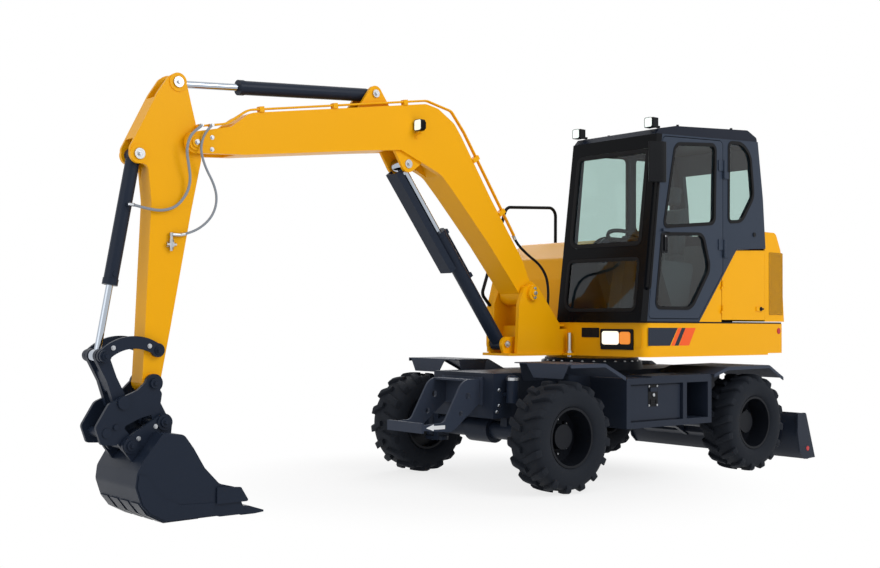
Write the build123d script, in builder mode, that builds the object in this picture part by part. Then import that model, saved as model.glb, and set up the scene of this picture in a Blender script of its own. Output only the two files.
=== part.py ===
"""Wheeled excavator of the six tonne class, with cab, boom, arm, quick coupler, bucket and rear blade."""

from build123d import *
import math
import os

os.makedirs("parts", exist_ok=True)

# Frame: x forward, y to the machine's left, z up, in millimetres, wheels on z = 0.
# Places along the machine are measured from the swing axis, which stands at SWING_X.
SWING_X = -1314.0

# Clearances
PIN_GAP = 0.1
SEAT_GAP = 0.3
MOVING_GAP = 6.0

# Wheels and axles
TYRE_RADIUS = 412.0
TYRE_WIDTH = 306.0
TREAD_DEPTH = 28.0
SIDEWALL_RADIUS = 300.0
LUG_DROP = 3.4
LUG_COUNT = 16
LUG_BREADTH = 52.0
LUG_LENGTH = 146.0
LUG_SKEW = 24.0
RIM_RADIUS = 212.0
RIM_FLANGE_RADIUS = 222.0
RIM_WIDTH = 256.0
RIM_WALL = 8.0
DISC_THICKNESS = 14.0
DISC_OFFSET = -52.0
NUT_COUNT = 8
NUT_CIRCLE = 128.0
NUT_RADIUS = 15.0
HUB_RADIUS = 92.0
HUB_DEPTH = 118.0
SPINDLE_RADIUS = 45.0
TRACK_WIDTH = 1646.0
FRONT_AXLE_X = 1240.0
REAR_AXLE_X = -1004.0
AXLE_TUBE_RADIUS = 70.0
AXLE_CASE_RADIUS = 104.0
KINGPIN_OFFSET = 183.0
KINGPIN_Y = TRACK_WIDTH / 2 - KINGPIN_OFFSET
KINGPIN_RADIUS = 26.0
KNUCKLE_RADIUS = 52.0
YOKE_THICKNESS = 30.0
STEER_ROD_X = 1090.0
STEER_ROD_Z = 375.0
STEER_ROD_RADIUS = 14.0
SHAFT_Z = 446.0

# Chassis
FRAME_HALF = 350.0
FRAME_TOP = 862.0
FRAME_BOTTOM = 520.0
FRAME_BELLY = 400.0
FRAME_PLATE = 18.0
FRAME_FRONT = 1470.0
FRAME_REAR = -1330.0
PEDESTAL_RADIUS = 430.0
PEDESTAL_TOP = 930.0
RING_RADIUS = 400.0
RING_BORE = 300.0
RING_SPLIT = 957.0
FENDER_OUTER = 950.0
FENDER_SHEET = 8.0
FENDER_LIP = 28.0
STEP_OUTER = 935.0
STEP_INNER = 560.0
STEP_FRONT = 623.0
STEP_REAR = -430.0
STEP_BOTTOM = 440.0
STEP_TOP = 826.0
STEP_BAR = 48.0
BUMPER_X = 2030.0
BUMPER_HALF = 207.0
BUMPER_PLATE = 20.0
TIE_DOWN = (1600.0, 690.0)

# Rear blade
BLADE_HALF = 975.0
BLADE_PIVOT_X = -1300.0
BLADE_PIVOT_Z = 392.0
BLADE_ARM_Y = 245.0
BLADE_SHEET = 14.0
BLADE_PIN_RADIUS = 22.0
BLADE_CYL_X = -1392.0
BLADE_CYL_Z = 735.0
BLADE_EYE_X = -1572.0
BLADE_EYE_Z = 372.0

# Upper structure
DECK_BOTTOM = 985.0
DECK_PLATE = 20.0
BAND_TOP = 1253.0
BODY_HALF = 935.0
BAND_SHEET = 14.0
BAND_FRONT_CORNER = 397.0
BAND_FRONT = 470.0
REAR_X = -1482.0
REAR_BULGE = 160.0
WEIGHT_FRONT = -1225.0
COVER_BOTTOM = 1272.0
COVER_SHEET = 16.0
LAMP_INNER = 514.0
LAMP_OUTER = BODY_HALF - 115.0
ENGINE_HINGES = (1340.0, 1540.0)
ENGINE_HINGE_Y = BODY_HALF + 10.0
HOOD_HINGES = (-760.0, -240.0)
HOOD_HINGE = (-1182.5, 2058.0)
BRACKET_INNER = 128.0
BRACKET_PLATE = 34.0
BRACKET_FRONT = 1020.0
TONGUE_FRONT = 1130.0
TONGUE_HALF = 172.0

# Cab
CAB_RIGHT = 50.0
CAB_LEFT = BODY_HALF + 15.0
CAB_MIDDLE = (CAB_RIGHT + CAB_LEFT) / 2
CAB_WALL = 45.0
CAB_BOTTOM = 1266.0
CAB_FRONT_FOOT = 478.0
CAB_FRONT_TOP = 285.0
CAB_FRONT_HEIGHT = 2748.0
CAB_RISE = 70.0
CAB_REAR_HEIGHT = CAB_FRONT_HEIGHT + CAB_RISE
CAB_WAIST = 1901.0
CAB_REAR = -1075.0
DOOR_REAR = -568.0
DOOR_GAP = 6.0
DOOR_HINGE_X = -571.0
DOOR_HINGE_Y = CAB_LEFT + 12.0
DOOR_HINGES = (1800.0, CAB_FRONT_HEIGHT - 288.0)
GLASS = 8.0

# Pins of the digging gear, x from the swing axis and z from the ground
FOOT_X = 876.0
FOOT_Z = 1487.0
ARM_PIN_X = 3870.0
ARM_PIN_Z = 2396.0
BOOM_EYE_X = 2102.0
BOOM_EYE_Z = 2422.0
BOOM_BASE_X = 1085.0
BOOM_BASE_Z = 1078.0
ARM_BASE_X = 2403.0
ARM_BASE_Z = 2909.0
ARM_EYE_X = 3981.0
ARM_EYE_Z = 2778.0
BUCKET_BASE_X = 4242.0
BUCKET_BASE_Z = 2291.0
GUIDE_X = 4108.0
GUIDE_Z = 1061.0
LINK_X = 4466.0
LINK_Z = 1029.0
TIP_X = 4136.0
TIP_Z = 855.0
COUPLER_LINK_X = 4339.0
COUPLER_LINK_Z = 740.0
BUCKET_REAR_X = 4081.0
BUCKET_REAR_Z = 612.0
BUCKET_FRONT_X = 4304.0
BUCKET_FRONT_Z = 480.0

# Digging gear sections
BOOM_HALF = 115.0
BOOM_PLATE = 14.0
NOSE_SLOT = 300.0
ARM_HALF = 75.0
ARM_PLATE = 12.0
BUCKET_HALF = 287.0
BUCKET_SHEET = 16.0
COUPLER_INNER = 92.0
COUPLER_PLATE = 26.0
EAR_INNER = 126.0
EAR_PLATE = 26.0
TOOTH_PLACES = (-250.0, -125.0, 0.0, 125.0, 250.0)
PIN_RADIUS = 30.0
SMALL_PIN_RADIUS = 24.0
EYE_HALF = 34.0
GUARD_OFFSET = 115.0
GUARD_WIDTH = 126.0
GUARD_FLANGE = 60.0
GUARD_LENGTH = 900.0
BOOM_PIPE_RADIUS = 7.0
PIPE_FACE = 121.0
BUCKET_HOSE_RADIUS = 9.0
VALVE_HOSE_RADIUS = 8.0
FOOT_HOSE_RADIUS = 11.0
BUCKET_PORT = 325.0
BOOM_LAMP_X = 2070.0
BOOM_LAMP_Z = 2707.0
BOOM_LAMP_Y = 168.0

FOOT = (FOOT_X, FOOT_Z)
ARM_PIN = (ARM_PIN_X, ARM_PIN_Z)
BOOM_EYE = (BOOM_EYE_X, BOOM_EYE_Z)
BOOM_BASE = (BOOM_BASE_X, BOOM_BASE_Z)
ARM_BASE = (ARM_BASE_X, ARM_BASE_Z)
ARM_EYE = (ARM_EYE_X, ARM_EYE_Z)
BUCKET_BASE = (BUCKET_BASE_X, BUCKET_BASE_Z)
GUIDE = (GUIDE_X, GUIDE_Z)
LINK = (LINK_X, LINK_Z)
TIP = (TIP_X, TIP_Z)
COUPLER_LINK = (COUPLER_LINK_X, COUPLER_LINK_Z)
BUCKET_REAR = (BUCKET_REAR_X, BUCKET_REAR_Z)
BUCKET_FRONT = (BUCKET_FRONT_X, BUCKET_FRONT_Z)
BLADE_PIVOT = (BLADE_PIVOT_X, BLADE_PIVOT_Z)
BLADE_BASE = (BLADE_CYL_X, BLADE_CYL_Z)
BLADE_EYE = (BLADE_EYE_X, BLADE_EYE_Z)


def side(y):
    """Upright plane along the machine: sketch x is forward, sketch y is up, the normal points right."""
    return Plane((SWING_X, y, 0), x_dir=(1, 0, 0), z_dir=(0, -1, 0))


def level(z):
    """Level plane at a height: sketch x is forward, sketch y is left."""
    return Plane((SWING_X, 0, z), x_dir=(1, 0, 0), z_dir=(0, 0, 1))


def across(x):
    """Upright plane across the machine: sketch x is left, sketch y is up, the normal points forward."""
    return Plane((SWING_X + x, 0, 0), x_dir=(0, 1, 0), z_dir=(1, 0, 0))


def shifted(point, dx, dz):
    """A point of the side view moved by an offset."""
    return (point[0] + dx, point[1] + dz)


def slab(rows, low, high, mode=Mode.ADD):
    """Plate between two widths whose side outline has rows of (x, z, corner radius)."""
    with BuildSketch(side(high)) as outline:
        with BuildLine():
            FilletPolyline(*[row[:2] for row in rows], radius=[row[2] for row in rows], close=True)
        make_face()
    extrude(outline.sketch, amount=high - low, mode=mode)


def sheet(rows, low, high, mode=Mode.ADD):
    """Plate between two heights whose plan outline has rows of (x, y, corner radius)."""
    with BuildSketch(level(low)) as outline:
        with BuildLine():
            FilletPolyline(*[row[:2] for row in rows], radius=[row[2] for row in rows], close=True)
        make_face()
    extrude(outline.sketch, amount=high - low, mode=mode)


def wall(rows, low, high, mode=Mode.ADD):
    """Plate between two places along the machine whose front outline has rows of (y, z, corner radius)."""
    with BuildSketch(across(low)) as outline:
        with BuildLine():
            FilletPolyline(*[row[:2] for row in rows], radius=[row[2] for row in rows], close=True)
        make_face()
    extrude(outline.sketch, amount=high - low, mode=mode)


def link(circles, low, high, mode=Mode.ADD):
    """Plate wrapped tightly round circles of (x, z, radius) in the side view."""
    with BuildSketch(side(high)) as outline:
        for x, z, radius in circles:
            with Locations((x, z)):
                Circle(radius)
        make_hull()
    extrude(outline.sketch, amount=high - low, mode=mode)


def bar(point, radius, low, high, mode=Mode.ADD):
    """Round bar or hole across the machine at a point of the side view."""
    with BuildSketch(side(high)) as outline:
        with Locations(point):
            Circle(radius)
    extrude(outline.sketch, amount=high - low, mode=mode)


def block(x, y, z, mode=Mode.ADD):
    """Box given by its (low, high) along x, y and z."""
    with Locations((SWING_X + (x[0] + x[1]) / 2, (y[0] + y[1]) / 2, (z[0] + z[1]) / 2)):
        Box(x[1] - x[0], y[1] - y[0], z[1] - z[0], mode=mode)


def both(low, high):
    """The same pair of widths on the left and on the right."""
    return ((low, high), (-high, -low))


def finish(piece, name):
    """Names a sub-part and writes it."""
    piece.part.label = name
    export_step(piece.part, f"parts/{name}.step")


def gap_between(a, b):
    """Distance between two points of the side view."""
    return math.hypot(b[0] - a[0], b[1] - a[1])


def toward(a, b, distance):
    """The point at a distance from a on the way to b."""
    share = distance / gap_between(a, b)
    return (a[0] + (b[0] - a[0]) * share, a[1] + (b[1] - a[1]) * share)


def pointing(a, b, distance=0.0):
    """Plane square to the line from a to b in the side view: sketch x is left."""
    spot = toward(a, b, distance) if distance else a
    return Plane((SWING_X + spot[0], 0, spot[1]), x_dir=(0, 1, 0), z_dir=(b[0] - a[0], 0, b[1] - a[1]))


def rod_stretch(a, b, start, end, radius, mode=Mode.ADD):
    """Round stretch on the line from a to b, between two distances from a."""
    with BuildSketch(pointing(a, b, start)) as outline:
        Circle(radius)
    extrude(outline.sketch, amount=end - start, mode=mode)


def lobe(circles, low, high, mode=Mode.ADD):
    """Level plate wrapped tightly round circles of (x, y, radius) in plan."""
    with BuildSketch(level(low)) as outline:
        for x, y, radius in circles:
            with Locations((x, y)):
                Circle(radius)
        make_hull()
    extrude(outline.sketch, amount=high - low, mode=mode)


def post(point, radius, low, high, mode=Mode.ADD):
    """Upright round bar or hole at a point (x, y) in plan."""
    with BuildSketch(level(low)) as outline:
        with Locations(point):
            Circle(radius)
    extrude(outline.sketch, amount=high - low, mode=mode)


def bent_sheet(rows, low, high, depth):
    """Bent sheet of a vertical depth whose upper face has rows of (x, z, bend radius)."""
    lower = [(x, z - depth, max(radius - depth, 0)) for x, z, radius in reversed(rows)]
    slab([*rows, *lower], low, high)


def tube(points, bends, radius, mode=Mode.ADD):
    """Round tube of one radius along points (x, y, z) from the swing axis, with a bend radius at each corner."""
    with BuildLine() as route:
        FilletPolyline(*[(SWING_X + x, y, z) for x, y, z in points], radius=bends)
    with BuildSketch(Plane(origin=route.line @ 0, z_dir=route.line % 0)) as section:
        Circle(radius)
    sweep(sections=section.sketch, path=route.line, mode=mode)


def bends(points):
    """Bend radii of a hose: 0.45 of the shorter run beside each corner over the tangent of half its turn."""
    radii = []
    for before, here, after in zip(points, points[1:], points[2:]):
        first = Vector(*here) - Vector(*before)
        second = Vector(*after) - Vector(*here)
        half_turn = math.radians(first.get_angle(second)) / 2
        radii.append(0.45 * min(first.length, second.length) / math.tan(half_turn))
    return radii


def hose(points, radius, name):
    """Hose as one tube along its points, with its length and its tightest bend printed."""
    radii = bends(points)
    with BuildPart() as piece:
        tube(points, radii, radius)
    length = piece.part.volume / (math.pi * radius**2)
    print(name, "length", round(length), "tightest bend", round(min(radii)), "of diameter", 2 * radius)
    finish(piece, name)


def cylinder_barrel(base, eye, length, radius, rod_radius, eye_radius, eye_half, pin_radius):
    """Barrel lying from its base pin toward the rod's eye, open for the rod, with a gland at its end."""
    bar(base, eye_radius, -eye_half, eye_half)
    rod_stretch(base, eye, eye_radius * 0.7, length, radius)
    rod_stretch(base, eye, length - 40, length, radius + 4)
    rod_stretch(base, eye, eye_radius + 12, length + 1, rod_radius + PIN_GAP, mode=Mode.SUBTRACT)
    bar(base, pin_radius + PIN_GAP, -eye_half, eye_half, mode=Mode.SUBTRACT)


def cylinder_rod(base, eye, start, radius, eye_radius, eye_half):
    """Rod from its inner end, a distance from the base pin, to its eye."""
    rod_stretch(base, eye, start, gap_between(base, eye), radius)
    bar(eye, eye_radius, -eye_half, eye_half)


# Tyre: a many sided band with two rows of slanted lugs, half a pitch apart
with BuildPart() as tyre_form:
    half = TYRE_WIDTH / 2
    crown = TYRE_RADIUS - TREAD_DEPTH
    band_rows = (
        (10 - RIM_WIDTH / 2, RIM_RADIUS + 14),
        (-half, SIDEWALL_RADIUS),
        (8 - half, crown),
        (half - 8, crown),
        (half, SIDEWALL_RADIUS),
        (RIM_WIDTH / 2 - 10, RIM_RADIUS + 14),
    )
    for y, radius in band_rows:
        with BuildSketch(Plane.XZ.offset(-y)):
            RegularPolygon(radius, 2 * LUG_COUNT)
    loft(ruled=True)
    with BuildSketch(Plane.XZ.offset(-half)) as seat_bore:
        Circle(RIM_RADIUS + SEAT_GAP)
    extrude(seat_bore.sketch, amount=TYRE_WIDTH, mode=Mode.SUBTRACT)
    lug_height = TREAD_DEPTH + 8
    for row_side, start in ((1, 0), (-1, 180 / LUG_COUNT)):
        with Locations(Plane.XZ):
            with PolarLocations(TYRE_RADIUS - LUG_DROP - lug_height / 2, LUG_COUNT, start + 90 / LUG_COUNT):
                with Locations((0, 0, -row_side * half / 2)):
                    Box(lug_height, LUG_BREADTH, LUG_LENGTH, rotation=(row_side * LUG_SKEW, 0, 0))

# Rim: barrel with two flanges, a disc with hand holes, and the hub that turns on the spindle
with BuildPart() as rim_form:
    flange_start = RIM_WIDTH / 2 - 5
    with BuildSketch(Plane.XY) as rim_section:
        with BuildLine():
            Polyline(
                (RIM_RADIUS - RIM_WALL, -RIM_WIDTH / 2),
                (RIM_FLANGE_RADIUS, -RIM_WIDTH / 2),
                (RIM_FLANGE_RADIUS, -flange_start),
                (RIM_RADIUS, -flange_start),
                (RIM_RADIUS, flange_start),
                (RIM_FLANGE_RADIUS, flange_start),
                (RIM_FLANGE_RADIUS, RIM_WIDTH / 2),
                (RIM_RADIUS - RIM_WALL, RIM_WIDTH / 2),
                close=True,
            )
        make_face()
        with Locations((RIM_RADIUS / 2, DISC_OFFSET)):
            Rectangle(RIM_RADIUS, DISC_THICKNESS)
        with Locations((HUB_RADIUS / 2, -18)):
            Rectangle(HUB_RADIUS, HUB_DEPTH)
    revolve(axis=Axis.Y)
    with BuildSketch(Plane.XZ.offset(-DISC_OFFSET)) as nuts:
        with PolarLocations(NUT_CIRCLE, NUT_COUNT):
            RegularPolygon(NUT_RADIUS, 6)
    extrude(nuts.sketch, amount=-DISC_THICKNESS / 2 - 16)
    with BuildSketch(Plane.XZ.offset(77.1)) as bore:
        Circle(SPINDLE_RADIUS + PIN_GAP)
    extrude(bore.sketch, amount=-95, mode=Mode.SUBTRACT)

WHEELS = (
    ("front_left", FRONT_AXLE_X, 1),
    ("front_right", FRONT_AXLE_X, -1),
    ("rear_left", REAR_AXLE_X, 1),
    ("rear_right", REAR_AXLE_X, -1),
)
for name, axle_x, hand in WHEELS:
    centre = Location((SWING_X + axle_x, hand * TRACK_WIDTH / 2, TYRE_RADIUS), (0, 0, 0 if hand > 0 else 180))
    with BuildPart() as tyre:
        with Locations(centre):
            add(tyre_form.part)
    finish(tyre, f"tyre_{name}")
    with BuildPart() as rim:
        with Locations(centre):
            add(rim_form.part)
    finish(rim, f"rim_{name}")

# Front axle: tube, gear case, yokes with the kingpins, and pads for the frame and the steering cylinder
with BuildPart() as front_axle:
    bar((FRONT_AXLE_X, TYRE_RADIUS), AXLE_TUBE_RADIUS, -KINGPIN_Y + 90, KINGPIN_Y - 90)
    bar((FRONT_AXLE_X, TYRE_RADIUS), AXLE_CASE_RADIUS, -130, 130)
    with BuildSketch(across(FRONT_AXLE_X - AXLE_CASE_RADIUS - 6)) as flange:
        with Locations((0, SHAFT_Z)):
            Circle(40)
    extrude(flange.sketch, amount=60)
    for hand in (1, -1):
        ends = sorted((hand * (KINGPIN_Y - 140), hand * (KINGPIN_Y - 84)))
        block((FRONT_AXLE_X - 58, FRONT_AXLE_X + 58), ends, (TYRE_RADIUS - 130, TYRE_RADIUS + 130))
        for low in (TYRE_RADIUS - 130, TYRE_RADIUS + 100):
            lobe(
                ((FRONT_AXLE_X, hand * KINGPIN_Y, 60), (FRONT_AXLE_X, hand * (KINGPIN_Y - 110), 58)),
                low,
                low + YOKE_THICKNESS,
            )
        post((FRONT_AXLE_X, hand * KINGPIN_Y), KINGPIN_RADIUS, TYRE_RADIUS - 142, TYRE_RADIUS + 142)
        pad = sorted((hand * 250, hand * 320))
        block((FRONT_AXLE_X - 60, FRONT_AXLE_X + 60), pad, (TYRE_RADIUS, FRAME_BOTTOM))
        arm_pad = sorted((hand * 100, hand * 150))
        block((STEER_ROD_X + 36, FRONT_AXLE_X - 40), arm_pad, (STEER_ROD_Z - 20, STEER_ROD_Z + 20))
finish(front_axle, "front_axle")

# Steering cylinder with its through rod
with BuildPart() as steering_cylinder:
    bar((STEER_ROD_X, STEER_ROD_Z), 30, -180, 180)
    for low, high in both(100, 150):
        block((STEER_ROD_X, STEER_ROD_X + 36), (low, high), (STEER_ROD_Z - 20, STEER_ROD_Z + 20))
    bar((STEER_ROD_X, STEER_ROD_Z), STEER_ROD_RADIUS + PIN_GAP, -180, 180, mode=Mode.SUBTRACT)
finish(steering_cylinder, "steering_cylinder")

with BuildPart() as steering_rod:
    bar((STEER_ROD_X, STEER_ROD_Z), STEER_ROD_RADIUS, -KINGPIN_Y, KINGPIN_Y)
    for hand in (1, -1):
        post((STEER_ROD_X, hand * KINGPIN_Y), 22, STEER_ROD_Z - 14, STEER_ROD_Z + 18)
finish(steering_rod, "steering_rod")

# Knuckles: boss on the kingpin, spindle into the hub, arm back to the steering rod
for name, hand in (("left", 1), ("right", -1)):
    with BuildPart() as knuckle:
        post((FRONT_AXLE_X, hand * KINGPIN_Y), KNUCKLE_RADIUS, TYRE_RADIUS - 94, TYRE_RADIUS + 94)
        reach = sorted((hand * KINGPIN_Y, hand * (TRACK_WIDTH / 2 + 15)))
        bar((FRONT_AXLE_X, TYRE_RADIUS), SPINDLE_RADIUS, *reach)
        lobe(
            ((FRONT_AXLE_X, hand * KINGPIN_Y, 24), (STEER_ROD_X, hand * KINGPIN_Y, 22)),
            STEER_ROD_Z - 46,
            STEER_ROD_Z - 14 - MOVING_GAP,
        )
        post(
            (FRONT_AXLE_X, hand * KINGPIN_Y),
            KINGPIN_RADIUS + PIN_GAP,
            TYRE_RADIUS - 100,
            TYRE_RADIUS + 100,
            mode=Mode.SUBTRACT,
        )
    finish(knuckle, f"knuckle_{name}")

# Rear axle: one rigid beam with end flanges and spindles
with BuildPart() as rear_axle:
    bar((REAR_AXLE_X, TYRE_RADIUS), AXLE_TUBE_RADIUS + 5, 123 - TRACK_WIDTH / 2, TRACK_WIDTH / 2 - 123)
    bar((REAR_AXLE_X, TYRE_RADIUS), AXLE_CASE_RADIUS, -160, 160)
    with BuildSketch(across(REAR_AXLE_X)) as flange:
        with Locations((0, SHAFT_Z)):
            Circle(45)
    extrude(flange.sketch, amount=AXLE_CASE_RADIUS + 35)
    for low, high in both(KINGPIN_Y, TRACK_WIDTH / 2 - 88):
        bar((REAR_AXLE_X, TYRE_RADIUS), 98, low, high)
    for low, high in both(TRACK_WIDTH / 2 - 123, TRACK_WIDTH / 2 + 15):
        bar((REAR_AXLE_X, TYRE_RADIUS), SPINDLE_RADIUS, low, high)
    for low, high in both(250, 320):
        block((REAR_AXLE_X - 65, REAR_AXLE_X + 65), (low, high), (TYRE_RADIUS, FRAME_BOTTOM))
finish(rear_axle, "rear_axle")

# Transfer gearbox with its motor and the two propeller shafts
with BuildPart() as drive_line:
    block((-40, 240), (-130, 130), (400, 640))
    bar((100, SHAFT_Z), 95, -150, 150)
    with BuildSketch(across(-260)) as motor:
        with Locations((60, 552)):
            Circle(85)
    extrude(motor.sketch, amount=240)
    front_end = FRONT_AXLE_X - AXLE_CASE_RADIUS - 6
    rear_end = REAR_AXLE_X + AXLE_CASE_RADIUS + 35
    for start, end in ((200, front_end), (rear_end, 0)):
        with BuildSketch(across(start)) as shaft:
            with Locations((0, SHAFT_Z)):
                Circle(24)
        extrude(shaft.sketch, amount=end - start)
    for start in (280, front_end - 60, rear_end, -80):
        with BuildSketch(across(start)) as joint:
            with Locations((0, SHAFT_Z)):
                RectangleRounded(64, 64, 14)
        extrude(joint.sketch, amount=60)
finish(drive_line, "drive_line")

# Chassis frame: two side plates, top plate, cross plates, slewing pedestal and the blade's ears
with BuildPart() as chassis_frame:
    side_rows = (
        (FRAME_REAR, FRAME_BOTTOM, 0),
        (FRAME_REAR, FRAME_TOP, 0),
        (FRAME_FRONT, FRAME_TOP, 0),
        (FRAME_FRONT, FRAME_BOTTOM, 0),
        (790, FRAME_BOTTOM, 80),
        (700, FRAME_BELLY, 40),
        (-450, FRAME_BELLY, 40),
        (-540, FRAME_BOTTOM, 80),
    )
    for low, high in both(FRAME_HALF - FRAME_PLATE, FRAME_HALF):
        slab(side_rows, low, high)
    across_frame = (-FRAME_HALF + FRAME_PLATE, FRAME_HALF - FRAME_PLATE)
    block((FRAME_REAR, FRAME_FRONT), across_frame, (FRAME_TOP - FRAME_PLATE, FRAME_TOP))
    for start, bottom in ((FRAME_REAR, FRAME_BOTTOM), (FRAME_FRONT - FRAME_PLATE, FRAME_BOTTOM)):
        block((start, start + FRAME_PLATE), across_frame, (bottom, FRAME_TOP))
    for start, bottom in ((-500, 560), (420, 560)):
        block((start, start + FRAME_PLATE), across_frame, (bottom, FRAME_TOP))
    for axle_x in (FRONT_AXLE_X, REAR_AXLE_X):
        block((axle_x - 80, axle_x + 80), across_frame, (FRAME_BOTTOM, FRAME_BOTTOM + FRAME_PLATE))
    block((-40, 240), across_frame, (640, 640 + FRAME_PLATE))
    post((0, 0), PEDESTAL_RADIUS, FRAME_TOP - 2, PEDESTAL_TOP)
    post((0, 0), RING_BORE, FRAME_TOP, PEDESTAL_TOP, mode=Mode.SUBTRACT)
    for ear in both(BLADE_ARM_Y - 54, BLADE_ARM_Y - 26) + both(BLADE_ARM_Y + 26, BLADE_ARM_Y + 54):
        link(((*BLADE_PIVOT, 46), (FRAME_REAR + 40, 620, 60)), *ear)
    for low, high in both(42, 70):
        link(((*BLADE_BASE, 38), (FRAME_REAR + 10, 700, 30), (FRAME_REAR + 10, 790, 30)), low, high)
    for low, high in both(BLADE_ARM_Y - 60, BLADE_ARM_Y + 60):
        bar(BLADE_PIVOT, BLADE_PIN_RADIUS, low, high)
    for low, high in both(24, 74):
        bar(BLADE_BASE, 18, low, high)
finish(chassis_frame, "chassis_frame")

# Slewing ring: outer race on the pedestal
with BuildPart() as swing_ring:
    post((0, 0), RING_RADIUS, PEDESTAL_TOP, RING_SPLIT)
    post((0, 0), RING_BORE, PEDESTAL_TOP, RING_SPLIT, mode=Mode.SUBTRACT)
finish(swing_ring, "swing_ring")

# Fenders: bent sheet over each wheel with an inner flange on the frame and a lip along the outer edge
with BuildPart() as fenders:
    fender_rows = ((1250, 946, 0), (880, 946, 60), (648, 840, 0))
    for low, high in both(FRAME_HALF, FENDER_OUTER):
        bent_sheet(fender_rows, low, high, FENDER_SHEET)
    for low, high in both(FENDER_OUTER - FENDER_SHEET, FENDER_OUTER):
        bent_sheet(fender_rows, low, high, FENDER_LIP)
    for hand in (1, -1):
        skirt = ((480, 942, 0), (920, 942, 0), (862, 836, 12), (558, 836, 12))
        wall([(hand * y, z, r) for y, z, r in skirt], 1250 - FENDER_SHEET, 1250)
        flange = sorted((hand * FRAME_HALF, hand * (FRAME_HALF + FENDER_SHEET)))
        slab(((1200, 940, 0), (900, 940, 0), (940, 800, 20), (1160, 800, 20)), *flange)
    fender_rows = ((-450, 837, 0), (-640, 891, 60), (-1225, 897, 60), (-1435, 788, 0))
    for low, high in both(FRAME_HALF, FENDER_OUTER):
        bent_sheet(fender_rows, low, high, FENDER_SHEET)
    for low, high in both(FENDER_OUTER - FENDER_SHEET, FENDER_OUTER):
        bent_sheet(fender_rows, low, high, FENDER_LIP)
    for low, high in both(FRAME_HALF, FRAME_HALF + FENDER_SHEET):
        slab(((-680, 888, 0), (-1200, 892, 0), (-1160, 780, 20), (-720, 780, 20)), low, high)
finish(fenders, "fenders")

# Step boxes between the axles: outer frame with a tool door in front and a deep step recess behind
with BuildPart() as step_boxes:
    for hand in (1, -1):
        outer = sorted((hand * STEP_INNER, hand * STEP_OUTER))
        block((STEP_REAR, STEP_FRONT), outer, (STEP_BOTTOM, STEP_TOP))
        inner_z = (STEP_BOTTOM + STEP_BAR, STEP_TOP - STEP_BAR)
        door_recess = sorted((hand * (STEP_OUTER - 34), hand * STEP_OUTER))
        door_x = (-60, STEP_FRONT - STEP_BAR)
        block(door_x, door_recess, inner_z, mode=Mode.SUBTRACT)
        step_recess = sorted((hand * (STEP_INNER + 30), hand * STEP_OUTER))
        block((STEP_REAR + STEP_BAR, -60 - STEP_BAR), step_recess, inner_z, mode=Mode.SUBTRACT)
        door = sorted((hand * (STEP_OUTER - 36), hand * (STEP_OUTER - 22)))
        block((door_x[0] + 10, door_x[1] - 10), door, (inner_z[0] + 10, inner_z[1] - 10))
        latch = sorted((hand * (STEP_OUTER - 24), hand * (STEP_OUTER - 8)))
        block((250, 330), latch, (inner_z[1] - 62, inner_z[1] - 30))
        tread = sorted((hand * (STEP_INNER + 60), hand * STEP_OUTER))
        block((STEP_REAR + 10, 330), tread, (STEP_TOP - 2, STEP_TOP + 12))
        bracket = sorted((hand * FRAME_HALF, hand * (STEP_INNER + 4)))
        for start in (-300, 420):
            block((start, start + 80), bracket, (560, 640))
finish(step_boxes, "step_boxes")

# Front bumper: plate across two curved brackets with a top strip
with BuildPart() as front_bumper:
    bracket_rows = (
        (FRAME_FRONT, 640, 0),
        (1755, 424, 120),
        (BUMPER_X, 449, 0),
        (BUMPER_X, 490, 0),
        (1830, 500, 60),
        (1660, 790, 120),
        (1600, 815, 20),
        (FRAME_FRONT, 815, 0),
    )
    for low, high in both(BUMPER_HALF - BUMPER_PLATE, BUMPER_HALF):
        slab(bracket_rows, low, high)
        bar(TIE_DOWN, 24, low, high, mode=Mode.SUBTRACT)
        bar((1668, 560), 20, low, high, mode=Mode.SUBTRACT)
    block((BUMPER_X - 2, BUMPER_X + BUMPER_PLATE), (-BUMPER_HALF, BUMPER_HALF), (430, 505))
    block((FRAME_FRONT, 1600), (-BUMPER_HALF, BUMPER_HALF), (801, 815))
    block((FRAME_FRONT, FRAME_FRONT + 14), (-BUMPER_HALF - 30, BUMPER_HALF + 30), (620, 830))
finish(front_bumper, "front_bumper")

# Rear blade: curved board, end plates, cutting edge, box beam, two arms and the cylinder's ears
with BuildPart() as blade:
    with BuildSketch(side(BLADE_HALF)) as board:
        with BuildLine():
            front_face = ThreePointArc((-1688, 465), (-1640, 270), (-1752, 70))
            back_face = ThreePointArc((-1672, 465), (-1625, 268), (-1738, 60))
            Line(front_face @ 0, back_face @ 0)
            Line(front_face @ 1, back_face @ 1)
        make_face()
    extrude(board.sketch, amount=2 * BLADE_HALF)
    edge_rows = ((-1722, 110, 0), (-1708, 104, 0), (-1762, 52, 0), (-1790, 58, 0))
    slab(edge_rows, -BLADE_HALF, BLADE_HALF)
    end_rows = ((-1618, 465, 10), (-1744, 465, 30), (-1885, 61, 0), (-1726, 55, 0), (-1650, 120, 40), (-1612, 300, 40))
    for low, high in both(BLADE_HALF - BLADE_SHEET, BLADE_HALF):
        slab(end_rows, low, high)
    slab(((-1640, 360, 0), (-1560, 300, 10), (-1560, 220, 10), (-1650, 180, 0)), -760, 760)
    for low, high in both(BLADE_ARM_Y - 20, BLADE_ARM_Y + 20):
        link(((*BLADE_PIVOT, 46), (-1610, 320, 50), (-1610, 225, 40)), low, high)
        bar(BLADE_PIVOT, BLADE_PIN_RADIUS + PIN_GAP, low, high, mode=Mode.SUBTRACT)
    for low, high in both(42, 64):
        link(((*BLADE_EYE, 34), (-1610, 350, 40)), low, high)
    for low, high in both(36, 68):
        bar(BLADE_EYE, 16, low, high)
finish(blade, "blade")

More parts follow.
